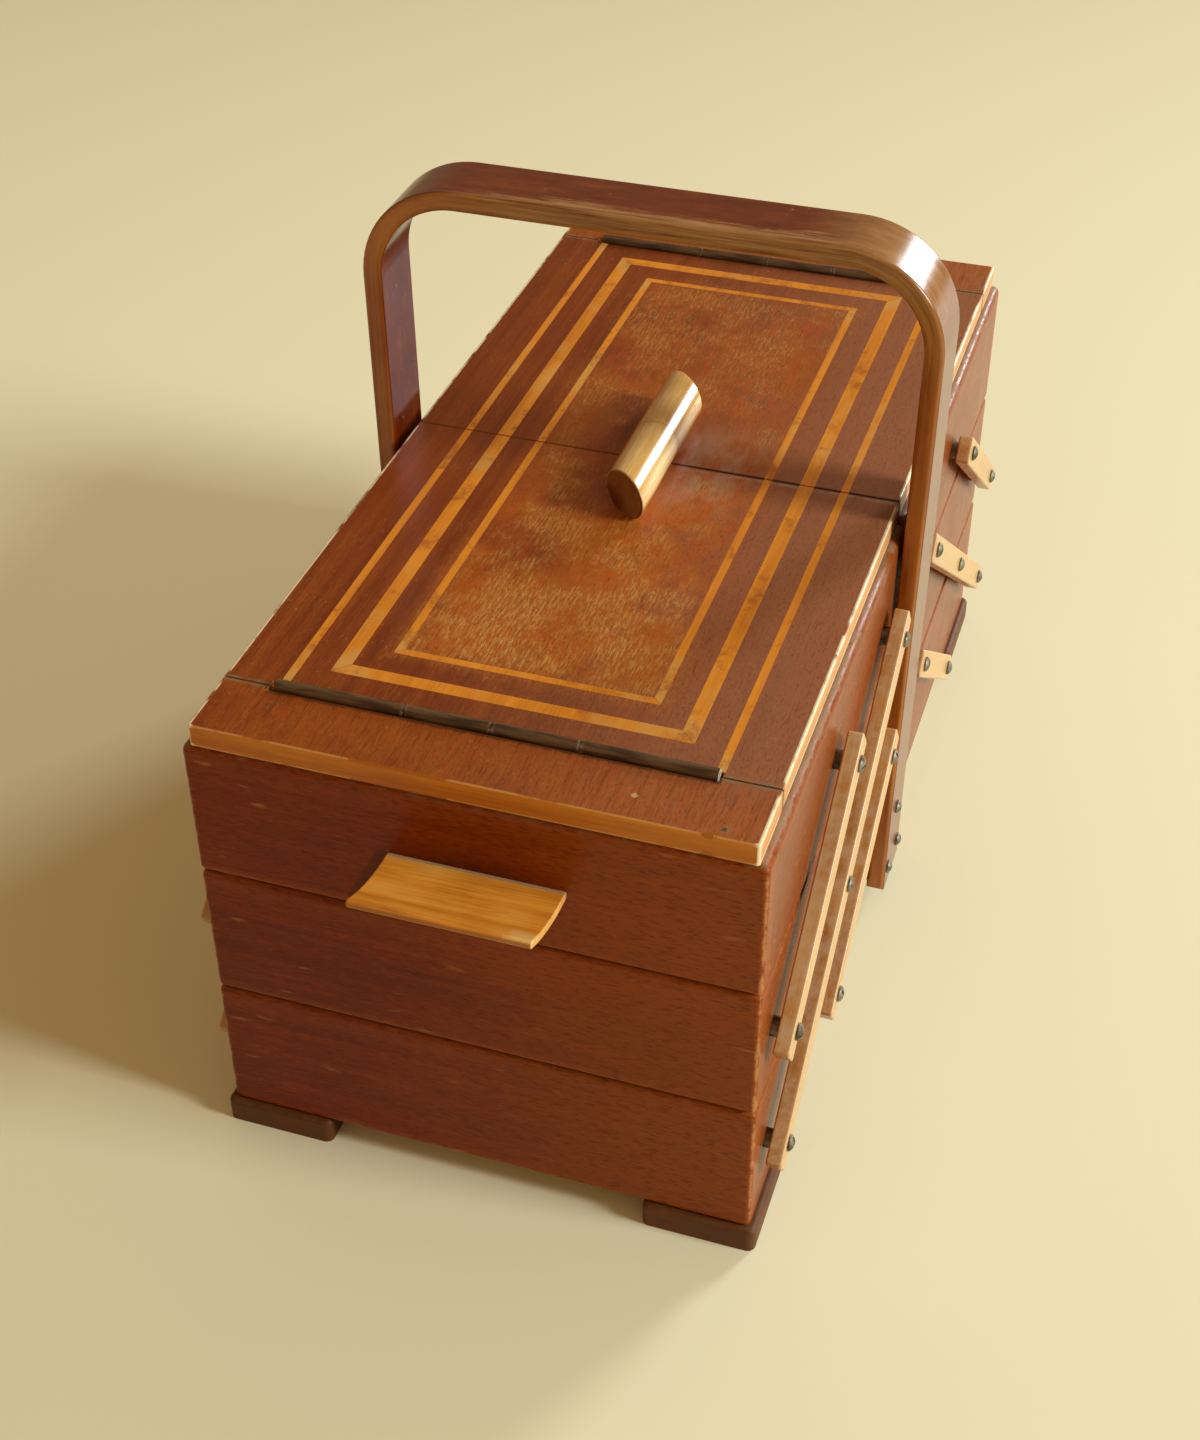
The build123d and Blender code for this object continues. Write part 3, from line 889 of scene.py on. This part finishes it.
@dataclass(frozen=True)
class AmberWood:
    """Clear-lacquered beech, amber with age and paler where it is rubbed."""

    dark: Colour
    middle: Colour
    light: Colour
    stops: tuple[float, float, float] = (0.36, 0.52, 0.70)

    def drawn(self, graph: Graph, grain: Grain, at: Socket | None = None) -> Socket:
        """The wood's figure along its grain.

        Args:
            graph: The material's nodes.
            grain: The way of the fibres.
            at: Where the fibres are read, or None for the shaded point.

        Returns:
            The figure from 0 to 1.
        """
        streaks = graph.noise(grain.drawn(*BEECH.streak), 4.0, 0.6, at)
        fibres = graph.noise(grain.drawn(*BEECH.fibre), 2.0, 0.5, at)
        figure = graph.times_plus(fibres, 0.22, graph.product(streaks, 0.50))
        return graph.times_plus(graph.noise(BEECH.mottle * 1.6), 0.36, figure)

    def toned(self, graph: Graph, figure: Socket) -> Socket:
        """The wood's colour for its figure."""
        low, middle, high = self.stops
        return graph.tones(figure, (low, self.dark), (high, self.light), (middle, self.middle))


@dataclass(frozen=True)
class LinkWood(AmberWood):
    """The links: amber beech with worn pale arrises that carry a painted highlight, painted light
    on outward faces, random dark marks and dusty tops.
    """

    dark: Colour = (0.300, 0.120, 0.030)
    middle: Colour = (0.500, 0.225, 0.055)
    light: Colour = (0.640, 0.340, 0.100)
    stops: tuple[float, float, float] = (0.36, 0.54, 0.70)
    stain: Colour = (0.170, 0.045, 0.006)
    rubbed: Colour = (0.680, 0.460, 0.220)
    # the paler colour painted on outward faces where the light falls on them
    pale: Colour = (0.620, 0.385, 0.150)
    dust: Colour = (0.600, 0.440, 0.260)
    marks: Pattern = Pattern(90.0, 5.0, 0.7, 0.60, 0.74, 0.45)
    speckle: Pattern = Pattern(150.0, 5.0, 0.7, 0.36, 0.66, 0.62)

    def build(self, name: str, turn: float, span: Span) -> bpy.types.Material:
        """The finish for one side's links.

        Args:
            name: The material's name.
            turn: The links' slope in radians from level.
            span: The box round both long sides' links.

        Returns:
            The material.
        """
        graph = Graph(name)
        turned = graph.tree.nodes.new("ShaderNodeMapping")
        graph.feed(turned.inputs["Vector"], graph.point)
        turned.inputs["Rotation"].default_value = (0.0, turn, 0.0)
        figure = self.drawn(graph, Grain.ALONG, turned.outputs[0])
        outward = graph.unsigned(graph.facing_y)
        from_face = graph.minus(span.high.y, graph.unsigned(graph.y))
        # worn rounded arrises next to the outer faces, partly a painted highlight
        rounded = graph.product(
            graph.fade(outward, 0.97, 0.85), graph.fade(from_face, 1.6 * MM, 0.2 * MM), 0.7
        )
        settled = graph.product(graph.fade(graph.facing_z, 0.2, 0.7), graph.shows(self.speckle))
        # painted light: faces turned outwards are paler where the light falls on them
        lit_facing = graph.product(graph.fade(outward, 0.80, 0.96), graph.scaled(figure, 0.45, 1.0))
        colour = graph.layers(
            self.toned(graph, figure),
            (graph.shows(self.marks), self.stain),
            (settled, self.dust),
            (rounded, self.rubbed),
            (lit_facing, self.pale),
        )
        rough = graph.scaled(graph.noise(70.0), 0.20, 0.34)
        relief = graph.bump(figure, 0.12 * MM)
        return graph.finish(
            Base_Color=colour, Roughness=rough, Normal=relief, Specular_IOR_Level=0.45
        )


@dataclass(frozen=True)
class PullWood(AmberWood):
    """The scooped end pulls: streaked amber wood with painted shade on the front face of the tip,
    painted highlights on the end faces and dust along the root.
    """

    dark: Colour = (0.400, 0.120, 0.011)
    middle: Colour = (0.780, 0.290, 0.027)
    light: Colour = (0.960, 0.500, 0.085)
    dust: Colour = (0.360, 0.270, 0.170)
    # painted shade on the front face of the tip
    lip_shade: Colour = (0.340, 0.110, 0.012)
    rubbed: Colour = (0.880, 0.560, 0.190)
    soil: Pattern = Pattern((330.0, 30.0, 330.0), 5.0, 0.65, 0.54, 0.72, 0.50)
    corner_wear: Pattern = Pattern(120.0, 4.0, 0.5, 0.36, 0.6, 0.8)

    def build(self, name: str, span: Span, wall_face: float) -> bpy.types.Material:
        """The finish for one pull.

        Args:
            name: The material's name.
            span: The pull's box.
            wall_face: How far the wall's outer face lies from the middle, along X.

        Returns:
            The material.
        """
        graph = Graph(name)
        figure = self.drawn(graph, Grain.ACROSS)
        away = graph.minus(graph.unsigned(graph.x), wall_face)
        reach = max(span.high.x, -span.low.x) - wall_face
        near_corner = graph.product(
            graph.fade(graph.minus(reach, away), 9.0 * MM, 3.0 * MM),
            graph.fade(graph.y, span.low.y + 16.0 * MM, span.low.y + 5.0 * MM),
            graph.shows(self.corner_wear),
        )
        # painted shade: faces turned along X, the front of the tip, are darker brown
        lip_shading = graph.fade(graph.unsigned(graph.facing_x), 0.62, 0.92, 0.8)
        # painted highlight: the end faces turned along Y are paler
        end_highlight = graph.fade(graph.unsigned(graph.facing_y), 0.35, 0.75, 0.5)
        dust_reach = graph.scaled(graph.noise(420.0), 0.2 * MM, 1.8 * MM)
        settled = graph.fade(graph.minus(away, dust_reach), 0.5 * MM, 0.0, 0.8)
        colour = graph.layers(
            self.toned(graph, figure),
            (graph.shows(self.soil), self.dark),
            (near_corner, self.rubbed),
            (lip_shading, self.lip_shade),
            (end_highlight, self.rubbed),
            (settled, self.dust),
        )
        rough = graph.scaled(graph.noise(70.0), 0.30, 0.42)
        rough = graph.largest(rough, graph.product(settled, 0.85))
        relief = graph.bump(figure, 0.12 * MM)
        return graph.finish(
            Base_Color=colour, Roughness=rough, Normal=relief, Specular_IOR_Level=0.42
        )


@dataclass(frozen=True)
class BarWood(AmberWood):
    """The round bar: pale wood polished by hands, with stained ends and painted shade low on its +Y
    side.
    """

    dark: Colour = (0.380, 0.170, 0.032)
    middle: Colour = (0.620, 0.350, 0.100)
    light: Colour = (0.820, 0.560, 0.220)
    stops: tuple[float, float, float] = (0.36, 0.52, 0.66)
    # here the colour of the painted shade low on the bar's +Y side
    stain: Colour = (0.170, 0.045, 0.006)
    end: Colour = (0.130, 0.022, 0.002)
    streaky: float = 3.0 * MM
    underside: Ramp = (5.0 * MM, 14.0 * MM, 0.92)
    joint_grime: Pattern = Pattern(150.0, 4.0, 0.5, 0.35, 0.6)

    def build(self, name: str, span: Span) -> bpy.types.Material:
        """The finish for one half of the bar.

        Args:
            name: The material's name.
            span: The box of this half.

        Returns:
            The material.
        """
        graph = Graph(name)
        figure = self.drawn(graph, Grain.ALONG)
        streaks = graph.noise((26.0, 240.0, 240.0))
        from_top = graph.minus(span.high.z, graph.z)
        height = graph.math("ADD", from_top, graph.scaled(streaks, -self.streaky, self.streaky))
        # painted shade: the lower part of the +Y side, turned away from the window, is darker
        low = graph.product(
            graph.fade(height, *self.underside), graph.fade(graph.y, -2.0 * MM, 3.0 * MM)
        )
        near_joint = graph.fade(graph.unsigned(graph.x), 5.0 * MM, 1.5 * MM, 0.45)
        colour = graph.layers(
            self.toned(graph, figure),
            (low, self.stain),
            (graph.product(near_joint, graph.shows(self.joint_grime)), self.dark),
            (graph.fade(graph.unsigned(graph.facing_x), 0.55, 0.9, 0.94), self.end),
        )
        rough = graph.scaled(graph.noise(60.0), 0.14, 0.26)
        relief = graph.bump(figure, 0.05 * MM)
        return graph.finish(
            Base_Color=colour, Roughness=rough, Normal=relief, Specular_IOR_Level=0.6
        )


@dataclass(frozen=True)
class StrapWood:
    """The bent handle: dark stained faces, golden edges and a broad worn band on one arris."""

    dark: Colour = (0.100, 0.010, 0.0008)
    middle: Colour = (0.138, 0.016, 0.0014)
    light: Colour = (0.195, 0.034, 0.0036)
    edge_dark: Colour = (0.240, 0.050, 0.003)
    edge_light: Colour = (0.480, 0.165, 0.016)
    grip_dark: Colour = (0.160, 0.045, 0.005)
    grip_light: Colour = (0.450, 0.215, 0.052)
    rubbed: Colour = (0.480, 0.260, 0.088)
    speck: Colour = (0.420, 0.250, 0.150)
    bend_radius: float = 37.5 * MM
    grip_place: float = -30.0 * MM
    grip_reach: tuple[float, float] = (130.0 * MM, 60.0 * MM)
    bend_place: float = -92.0 * MM
    bend_reach: tuple[float, float] = (42.0 * MM, 8.0 * MM)
    specks: Pattern = Pattern(330.0, 3.0, 0.5, 0.70, 0.78, 0.5)

    def unrolled(self, graph: Graph, span: Span) -> tuple[Socket, Socket]:
        """The strap's own coordinates, with its bends pulled straight.

        Args:
            graph: The material's nodes.
            span: The strap's box.

        Returns:
            The distance along the strap from the middle of its top, and a point whose X runs along
            the strap, whose Y runs across it and whose Z runs through it.
        """
        bend_y = span.high.y - self.bend_radius
        bend_z = span.high.z - self.bend_radius
        size_y = graph.unsigned(graph.y)
        past_y = graph.largest(graph.minus(size_y, bend_y), 0.0)
        past_z = graph.largest(graph.minus(graph.z, bend_z), 0.0)
        angle = graph.math("ARCTAN2", past_y, past_z)
        down = graph.largest(graph.minus(bend_z, graph.z), 0.0)
        length = graph.times_plus(angle, self.bend_radius, graph.smallest(size_y, bend_y))
        length = graph.math("ADD", length, down)
        length = graph.product(length, graph.math("SIGN", graph.y))
        node = graph.tree.nodes.new("ShaderNodeCombineXYZ")
        for target, value in zip(node.inputs, (length, graph.x, graph.length(past_y, past_z))):
            graph.feed(target, value)
        return length, node.outputs[0]

    def build(self, name: str, span: Span) -> bpy.types.Material:
        """The finish for the strap.

        Args:
            name: The material's name.
            span: The strap's box.

        Returns:
            The material.
        """
        graph = Graph(name)
        length, place = self.unrolled(graph, span)
        figure = graph.noise((7.0, 330.0, 330.0), 4.0, 0.6, place)
        clouds = graph.noise((16.0, 60.0, 60.0), 4.0, 0.6, place)
        mottle = graph.noise((60.0, 190.0, 190.0), 4.0, 0.65, place)
        streaks = graph.noise((20.0, 620.0, 620.0), 5.0, 0.7, place)
        ragged = graph.noise((30.0, 150.0, 150.0), 6.0, 0.75, place)
        blend = graph.times_plus(clouds, 0.55, graph.product(figure, 0.5))
        plain = graph.times_plus(mottle, 0.7, graph.product(blend, 0.35))
        face = graph.tones(plain, (0.40, self.dark), (0.70, self.light), (0.54, self.middle))
        handled = graph.fade(graph.gap(length, self.grip_place), *self.grip_reach)
        grip = graph.tones(streaks, (0.36, self.grip_dark), (0.60, self.grip_light))
        edging = graph.tones(blend, (0.40, self.edge_dark), (0.62, self.edge_light))
        on_edge = graph.fade(graph.unsigned(graph.facing_x), 0.40, 0.85)

        width = graph.times_plus(handled, 7.0 * MM, 0.6 * MM)
        reach = graph.product(width, graph.scaled(ragged, -0.9, 2.3))
        from_edge = graph.math("ADD", graph.x, span.high.x)
        rubbing = graph.product(
            graph.fade(graph.minus(from_edge, reach), 2.2 * MM, -2.2 * MM),
            graph.fade(streaks, 0.32, 0.62),
            graph.scaled(handled, 0.20, 0.85),
        )
        at_bend = graph.fade(graph.gap(length, self.bend_place), *self.bend_reach)
        far_edge = graph.minus(span.high.x, graph.x)
        far_reach = graph.times_plus(ragged, 4.0 * MM, -1.6 * MM)
        wear = graph.largest(
            rubbing,
            graph.fade(graph.minus(far_edge, far_reach), 0.9 * MM, -0.3 * MM, 0.4),
            graph.product(at_bend, graph.scaled(mottle, 0.2, 0.9)),
        )
        wear = graph.product(wear, graph.scaled(on_edge, 1.0, 0.35), 0.85)
        colour = graph.layers(
            face,
            (on_edge, graph.mix(handled, edging, grip)),
            (wear, self.rubbed),
            (graph.shows(self.specks), self.speck),
        )
        rough = graph.scaled(mottle, 0.12, 0.24)
        relief = graph.bump(figure, 0.02 * MM)
        return graph.finish(
            Base_Color=colour, Roughness=rough, Normal=relief, Specular_IOR_Level=0.5
        )


@dataclass(frozen=True)
class DarkFoot:
    """Nearly black feet with dust on their rounded tops."""

    dark: Colour = (0.060, 0.016, 0.002)
    light: Colour = (0.140, 0.042, 0.006)
    dust: Colour = (0.140, 0.070, 0.026)
    dust_noise: Pattern = Pattern(190.0, 5.0, 0.7, 0.40, 0.70, 0.40)

    def build(self, name: str) -> bpy.types.Material:
        """The finish for the four feet.

        Args:
            name: The material's name.

        Returns:
            The material.
        """
        graph = Graph(name)
        figure = MAHOGANY.figure(graph, Grain.ACROSS)
        settled = graph.product(graph.fade(graph.facing_z, 0.1, 0.75), graph.shows(self.dust_noise))
        colour = graph.tones(figure, (0.36, self.dark), (0.64, self.light))
        colour = graph.mix(settled, colour, self.dust)
        rough = graph.scaled(graph.noise(90.0), 0.45, 0.7)
        relief = graph.bump(figure, 0.2 * MM)
        return graph.finish(
            Base_Color=colour, Roughness=rough, Normal=relief, Specular_IOR_Level=0.3
        )


@dataclass(frozen=True)
class BareBoard:
    """Thin unstained board inside the trays."""

    dark: Colour = (0.360, 0.215, 0.105)
    light: Colour = (0.610, 0.430, 0.245)
    marks: Pattern = Pattern(40.0, 5.0, 0.65, 0.58, 0.72, 0.4)

    def build(self, name: str, grain: Grain) -> bpy.types.Material:
        """The finish for a bottom or a divider.

        Args:
            name: The material's name.
            grain: The way of its fibres.

        Returns:
            The material.
        """
        graph = Graph(name)
        figure = BEECH.figure(graph, grain)
        colour = graph.tones(figure, (0.36, self.dark), (0.64, self.light))
        colour = graph.mix(graph.shows(self.marks), colour, self.dark)
        rough = graph.scaled(graph.noise(60.0), 0.55, 0.75)
        relief = graph.bump(figure, 0.15 * MM)
        return graph.finish(Base_Color=colour, Roughness=rough, Normal=relief)


@dataclass(frozen=True)
class AgedMetal:
    """Dull screw metal with tarnish and fine scratches."""

    bright: Colour = (0.300, 0.270, 0.200)
    tarnish: Colour = (0.100, 0.085, 0.058)
    shine: tuple[float, float] = (0.30, 0.52)
    tarnished: tuple[float, float] = (0.42, 0.67)

    def build(self, name: str) -> bpy.types.Material:
        """The finish for one node's screws.

        Args:
            name: The material's name.

        Returns:
            The material.
        """
        graph = Graph(name)
        clouds = graph.noise(260.0, 5.0, 0.65)
        scratches = graph.noise((900.0, 3400.0, 900.0))
        colour = graph.mix(graph.fade(clouds, *self.tarnished), self.bright, self.tarnish)
        rough = graph.times_plus(scratches, 0.15, graph.scaled(clouds, *self.shine))
        relief = graph.bump(clouds, 0.04 * MM)
        return graph.finish(Base_Color=colour, Roughness=rough, Normal=relief, Metallic=1.0)


@dataclass(frozen=True)
class DustyHinge:
    """Old brass gone grey-brown, dusty between its knuckles and bright at one end."""

    bright: Colour = (0.150, 0.082, 0.032)
    tarnish: Colour = (0.060, 0.028, 0.010)
    end: Colour = (0.520, 0.480, 0.380)
    dust: Colour = (0.300, 0.250, 0.180)
    joint_dust: Pattern = Pattern(700.0, 2.0, 0.5, 0.4, 0.6, 0.7)

    def build(self, name: str, span: Span, joints: Sequence[float]) -> bpy.types.Material:
        """The finish for one hinge.

        Args:
            name: The material's name.
            span: The hinge's box.
            joints: Where its knuckles meet, along Y.

        Returns:
            The material.
        """
        graph = Graph(name)
        clouds = graph.noise((500.0, 60.0, 500.0), 4.0)
        colour = graph.mix(graph.fade(clouds, 0.38, 0.64), self.bright, self.tarnish)
        for place in joints:
            at_joint = graph.fade(graph.gap(graph.y, place), 1.5 * MM, 0.3 * MM)
            settled = graph.product(at_joint, graph.shows(self.joint_dust))
            colour = graph.mix(settled, colour, self.dust)
        tip = graph.product(
            graph.fade(graph.unsigned(graph.facing_y), 0.5, 0.9),
            graph.fade(graph.y, span.low.y + 1.0 * MM, span.low.y),
        )
        colour = graph.mix(tip, colour, self.end)
        rough = graph.scaled(clouds, 0.42, 0.62)
        return graph.finish(Base_Color=colour, Roughness=rough, Metallic=0.35)


# ------------------------------------------------------------------------------------ assembly


def dress(material: bpy.types.Material, *nodes: str) -> int:
    """Give some nodes of the frame a finish.

    Args:
        material: The finish.
        nodes: The nodes' names.

    Returns:
        How many nodes were finished.
    """
    for node in nodes:
        for slot in bpy.data.objects[node].material_slots:
            slot.material = material
    return len(nodes)


@dataclass
class Carcase:
    """A box of four walls and a bottom, with an optional divider."""

    prefix: str
    ends: tuple[str, str]
    divided: bool = True
    pull: str | None = None
    rim_dust: float = 0.85
    # painted light: the end walls' own paler tint towards the lit front (-Y) side
    end_lit_side_tint: Colour = (0.370, 0.092, 0.010)

    def dress(self) -> int:
        """Finish the walls, the bottom and the divider.

        Returns:
            How many nodes were finished.
        """
        sides = [f"{self.prefix}_{name}" for name in ("front_wall", "back_wall")]
        ends = [f"{self.prefix}_{name}" for name in self.ends]
        span = Span.of(*sides, *ends)
        pull = Span.of(self.pull) if self.pull else None
        board = StainedBoard(dustiness=self.rim_dust if self.pull else 0.0)
        side_finish = board.build(f"{self.prefix}_long_wall_finish", span, Grain.ALONG)
        board = replace(board, lit_side_tint=self.end_lit_side_tint)
        end_finish = board.build(f"{self.prefix}_end_wall_finish", span, Grain.ACROSS, pull)
        bottom_finish = BareBoard().build(f"{self.prefix}_bottom_finish", Grain.ALONG)
        done = dress(side_finish, *sides) + dress(end_finish, *ends)
        done += dress(bottom_finish, f"{self.prefix}_bottom")
        if self.divided:
            divider_finish = BareBoard().build(f"{self.prefix}_divider_finish", Grain.ACROSS)
            done += dress(divider_finish, f"{self.prefix}_divider")
        return done


@dataclass
class LidSet:
    """One half's lid, its fixed strip, their inlay, hinge and pull bar."""

    side: Side
    band_corner: Vector = field(default_factory=lambda: Vector((161.3 * MM, 63.5 * MM, 0.0)))
    field_corner: Vector = field(default_factory=lambda: Vector((142.2 * MM, 44.2 * MM, 0.0)))
    knuckle_joints: tuple[float, ...] = (-29.7 * MM, 0.6 * MM, 30.9 * MM)
    barrel_room: float = 1.3 * MM
    chip: tuple[float, float] = (4.0 * MM, 40.0 * MM)
    strip_flame: float = 0.55
    spots: tuple[Spot, ...] = (
        Spot(-191.3 * MM, -53.0 * MM, 1.3 * MM, (0.620, 0.420, 0.200)),
        Spot(-198.0 * MM, -84.0 * MM, 2.2 * MM, (0.250, 0.170, 0.070)),
        Spot(-198.2 * MM, -83.6 * MM, 1.2 * MM, (0.035, 0.026, 0.010)),
    )

    @property
    def veneer(self) -> LidVeneer:
        """The lid's own veneer, the more golden on the half that is used the most."""
        if self.side is Side.LEFT:
            return LidVeneer(gilding=0.80)
        return LidVeneer(gilding=0.42, amber=(0.350, 0.085, 0.005))

    @property
    def strip_veneer(self) -> LidVeneer:
        """The fixed strip's veneer, with the marks that only the left half has."""
        spots = self.spots if self.side is Side.LEFT else ()
        return LidVeneer(chip=self.chip, flame=self.strip_flame, spots=spots)

    def dress(self) -> int:
        """Finish the boards, strings, hinge and bar.

        Returns:
            How many nodes were finished.
        """
        label = self.side.label
        panel, strip = f"{label}_lid_panel", f"{label}_top_fixed_strip"
        inlay, bar = f"{label}_lid_inlay", f"{label}_lid_pull_bar"
        hinge = [f"{label}_top_hinge_leaf", f"{label}_lid_hinge_leaf", f"{label}_top_hinge_pin"]
        board = Span.of(panel)
        corner = self.field_corner
        low = Vector((-corner.x, -corner.y, 0.0))
        field_span = Span(low, Vector((corner.x, corner.y, board.high.z)))
        barrel = Span.of(hinge[2])
        room = Vector((self.barrel_room, 0.0, 0.0))
        around = (Span(barrel.low - room, barrel.high + room),)
        panel_finish = self.veneer.build(f"{panel}_finish", board, field_span, around)
        veneer = self.strip_veneer
        strip_finish = veneer.build(f"{strip}_finish", Span.of(strip), field_span, around)
        inlay_finish = InlayString().build(f"{label}_inlay_finish", self.band_corner)
        metal = DustyHinge().build(f"{label}_hinge_finish", barrel, self.knuckle_joints)
        bar_finish = BarWood().build(f"{bar}_finish", Span.of(bar))
        done = dress(panel_finish, panel) + dress(strip_finish, strip)
        done += dress(inlay_finish, inlay) + dress(metal, *hinge)
        return done + dress(bar_finish, bar)


@dataclass
class Linkage:
    """One half's links, their pivot screws and its end pull."""

    side: Side
    slope: float = math.atan2(56.3, 76.3)
    wall_face: float = 202.8 * MM

    def dress(self) -> int:
        """Finish the links, the screws and the pull.

        Returns:
            How many nodes were finished.
        """
        label = self.side.label
        links = [f"{label}_{name}_links" for name in ("long", "lower", "upper")]
        turn = -self.side.sign * self.slope
        done = dress(LinkWood().build(f"{label}_link_finish", turn, Span.of(*links)), *links)
        for level in ("mid", "top"):
            screws = f"{label}_{level}_pivot_screws"
            done += dress(AgedMetal().build(f"{screws}_finish"), screws)
        pull = f"{label}_top_end_pull"
        finish = PullWood().build(f"{pull}_finish", Span.of(pull), self.wall_face)
        return done + dress(finish, pull)


# --------------------------------------------------------------------------------------- scene


def direction(azimuth: float, elevation: float) -> Vector:
    """The unit vector at an azimuth from +X and an elevation, in radians."""
    level = math.cos(elevation)
    return Vector((level * math.cos(azimuth), level * math.sin(azimuth), math.sin(elevation)))


@dataclass(frozen=True)
class Viewpoint:
    """Where the camera stands and how it looks."""

    eye: Vector = field(default_factory=lambda: Vector((-0.67653, -0.20266, 0.62079)))
    azimuth: float = math.radians(18.366)
    fall: float = math.radians(38.352)
    roll: float = math.radians(-0.33)
    lens: float = 53.49
    sensor: float = 36.0
    nearest: float = 0.01

    def build(self) -> None:
        """Create the camera and make it the scene's own."""
        forward = direction(self.azimuth, -self.fall)
        level_right = forward.cross(Vector((0.0, 0.0, 1.0))).normalized()
        level_up = level_right.cross(forward)
        right = math.cos(self.roll) * level_right + math.sin(self.roll) * level_up
        up = right.cross(forward)
        data = bpy.data.cameras.new("camera")
        data.lens = self.lens
        data.sensor_width = self.sensor
        data.sensor_fit = "AUTO"
        data.clip_start = self.nearest
        camera = bpy.data.objects.new("camera", data)
        turn = Matrix((right, up, -forward)).transposed().to_4x4()
        camera.matrix_world = Matrix.Translation(self.eye) @ turn
        bpy.context.scene.collection.objects.link(camera)
        bpy.context.scene.camera = camera


@dataclass(frozen=True)
class Lamp:
    """A soft rectangular light that looks at the carrier."""

    name: str
    azimuth: float
    elevation: float
    distance: float
    width: float
    height: float
    power: float
    spread: float = math.radians(50.0)
    colour: Colour = (0.86, 0.95, 1.0)
    target: Vector = field(default_factory=lambda: Vector((0.0, 0.0, 0.12)))

    def build(self) -> None:
        """Create the lamp."""
        outward = direction(math.radians(self.azimuth), math.radians(self.elevation))
        data = bpy.data.lights.new(self.name, "AREA")
        data.shape = "RECTANGLE"
        data.size = self.width
        data.size_y = self.height
        data.energy = self.power
        data.spread = self.spread
        data.color = self.colour
        lamp = bpy.data.objects.new(self.name, data)
        lamp.location = self.target + outward * self.distance
        lamp.rotation_euler = outward.to_track_quat("Z", "Y").to_euler()
        bpy.context.scene.collection.objects.link(lamp)


@dataclass(frozen=True)
class Studio:
    """A pale floor, a soft sky and the lamps."""

    floor_size: float = 16.0
    floor_colour: Colour = (0.90, 0.84, 0.55)
    floor_cloud: Colour = (0.70, 0.58, 0.34)
    cloud_share: float = 0.06
    sky_colour: Colour = (1.0, 0.66, 0.36)
    sky_strength: float = 0.36
    lamps: tuple[Lamp, ...] = (
        Lamp("far_window", -27.5, 19.0, distance=4.5, width=0.9, height=1.5, power=10.6),
        Lamp("side_window", -92.5, 27.0, distance=6.0, width=1.65, height=2.0, power=31.5),
    )

    def build_floor(self) -> None:
        """Create the floor as stage."""
        shape = bmesh.new()
        bmesh.ops.create_grid(shape, x_segments=1, y_segments=1, size=self.floor_size / 2)
        mesh = bpy.data.meshes.new("floor")
        shape.to_mesh(mesh)
        shape.free()
        floor = bpy.data.objects.new("floor", mesh)
        bpy.context.scene.collection.objects.link(floor)
        graph = Graph("floor_finish")
        share = graph.scaled(graph.noise(0.8, 2.0), 0.0, self.cloud_share)
        colour = graph.mix(share, self.floor_colour, self.floor_cloud)
        mesh.materials.append(graph.finish(Base_Color=colour, Roughness=0.6))

    def build_sky(self) -> None:
        """Create the world's even light."""
        world = bpy.data.worlds.new("sky")
        world.use_nodes = True
        background = world.node_tree.nodes["Background"]
        background.inputs["Color"].default_value = (*self.sky_colour, 1.0)
        background.inputs["Strength"].default_value = self.sky_strength
        bpy.context.scene.world = world

    def build(self) -> None:
        """Create everything that stands round the carrier."""
        self.build_floor()
        self.build_sky()
        for lamp in self.lamps:
            lamp.build()


def corners(span: tuple[Vector, Vector]) -> list[list[float]]:
    """A pair of corners as plain lists."""
    return [list(span[0]), list(span[1])]


def dress_carrier() -> None:
    """Give every node of the frame its finish."""
    carcases = [Carcase("base", ("left_wall", "right_wall"), divided=False)]
    for side in Side:
        for level in ("mid", "top"):
            pull = f"{side.label}_top_end_pull" if level == "top" else None
            prefix = f"{side.label}_{level}"
            carcases.append(Carcase(prefix, ("outer_wall", "inner_wall"), pull=pull))
    for carcase in carcases:
        LOG.info("%s: %d nodes finished", carcase.prefix, carcase.dress())
    for side in Side:
        LOG.info("%s lid: %d nodes finished", side.label, LidSet(side).dress())
        LOG.info("%s linkage: %d nodes finished", side.label, Linkage(side).dress())
    dress(StrapWood().build("handle_finish", Span.of("handle")), "handle")
    dress(DarkFoot().build("foot_finish"), "corner_feet")
    for name in ("handle_screws", "base_pivot_screws"):
        dress(AgedMetal().build(f"{name}_finish"), name)


def main() -> None:
    """Load the frame, dress every piece and set up the view."""
    logging.basicConfig(level=logging.INFO, format="%(name)s: %(message)s")
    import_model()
    bpy.context.scene.view_settings.view_transform = "Standard"
    dress_carrier()
    Viewpoint().build()
    Studio().build()


if __name__ == "__main__":
    main()
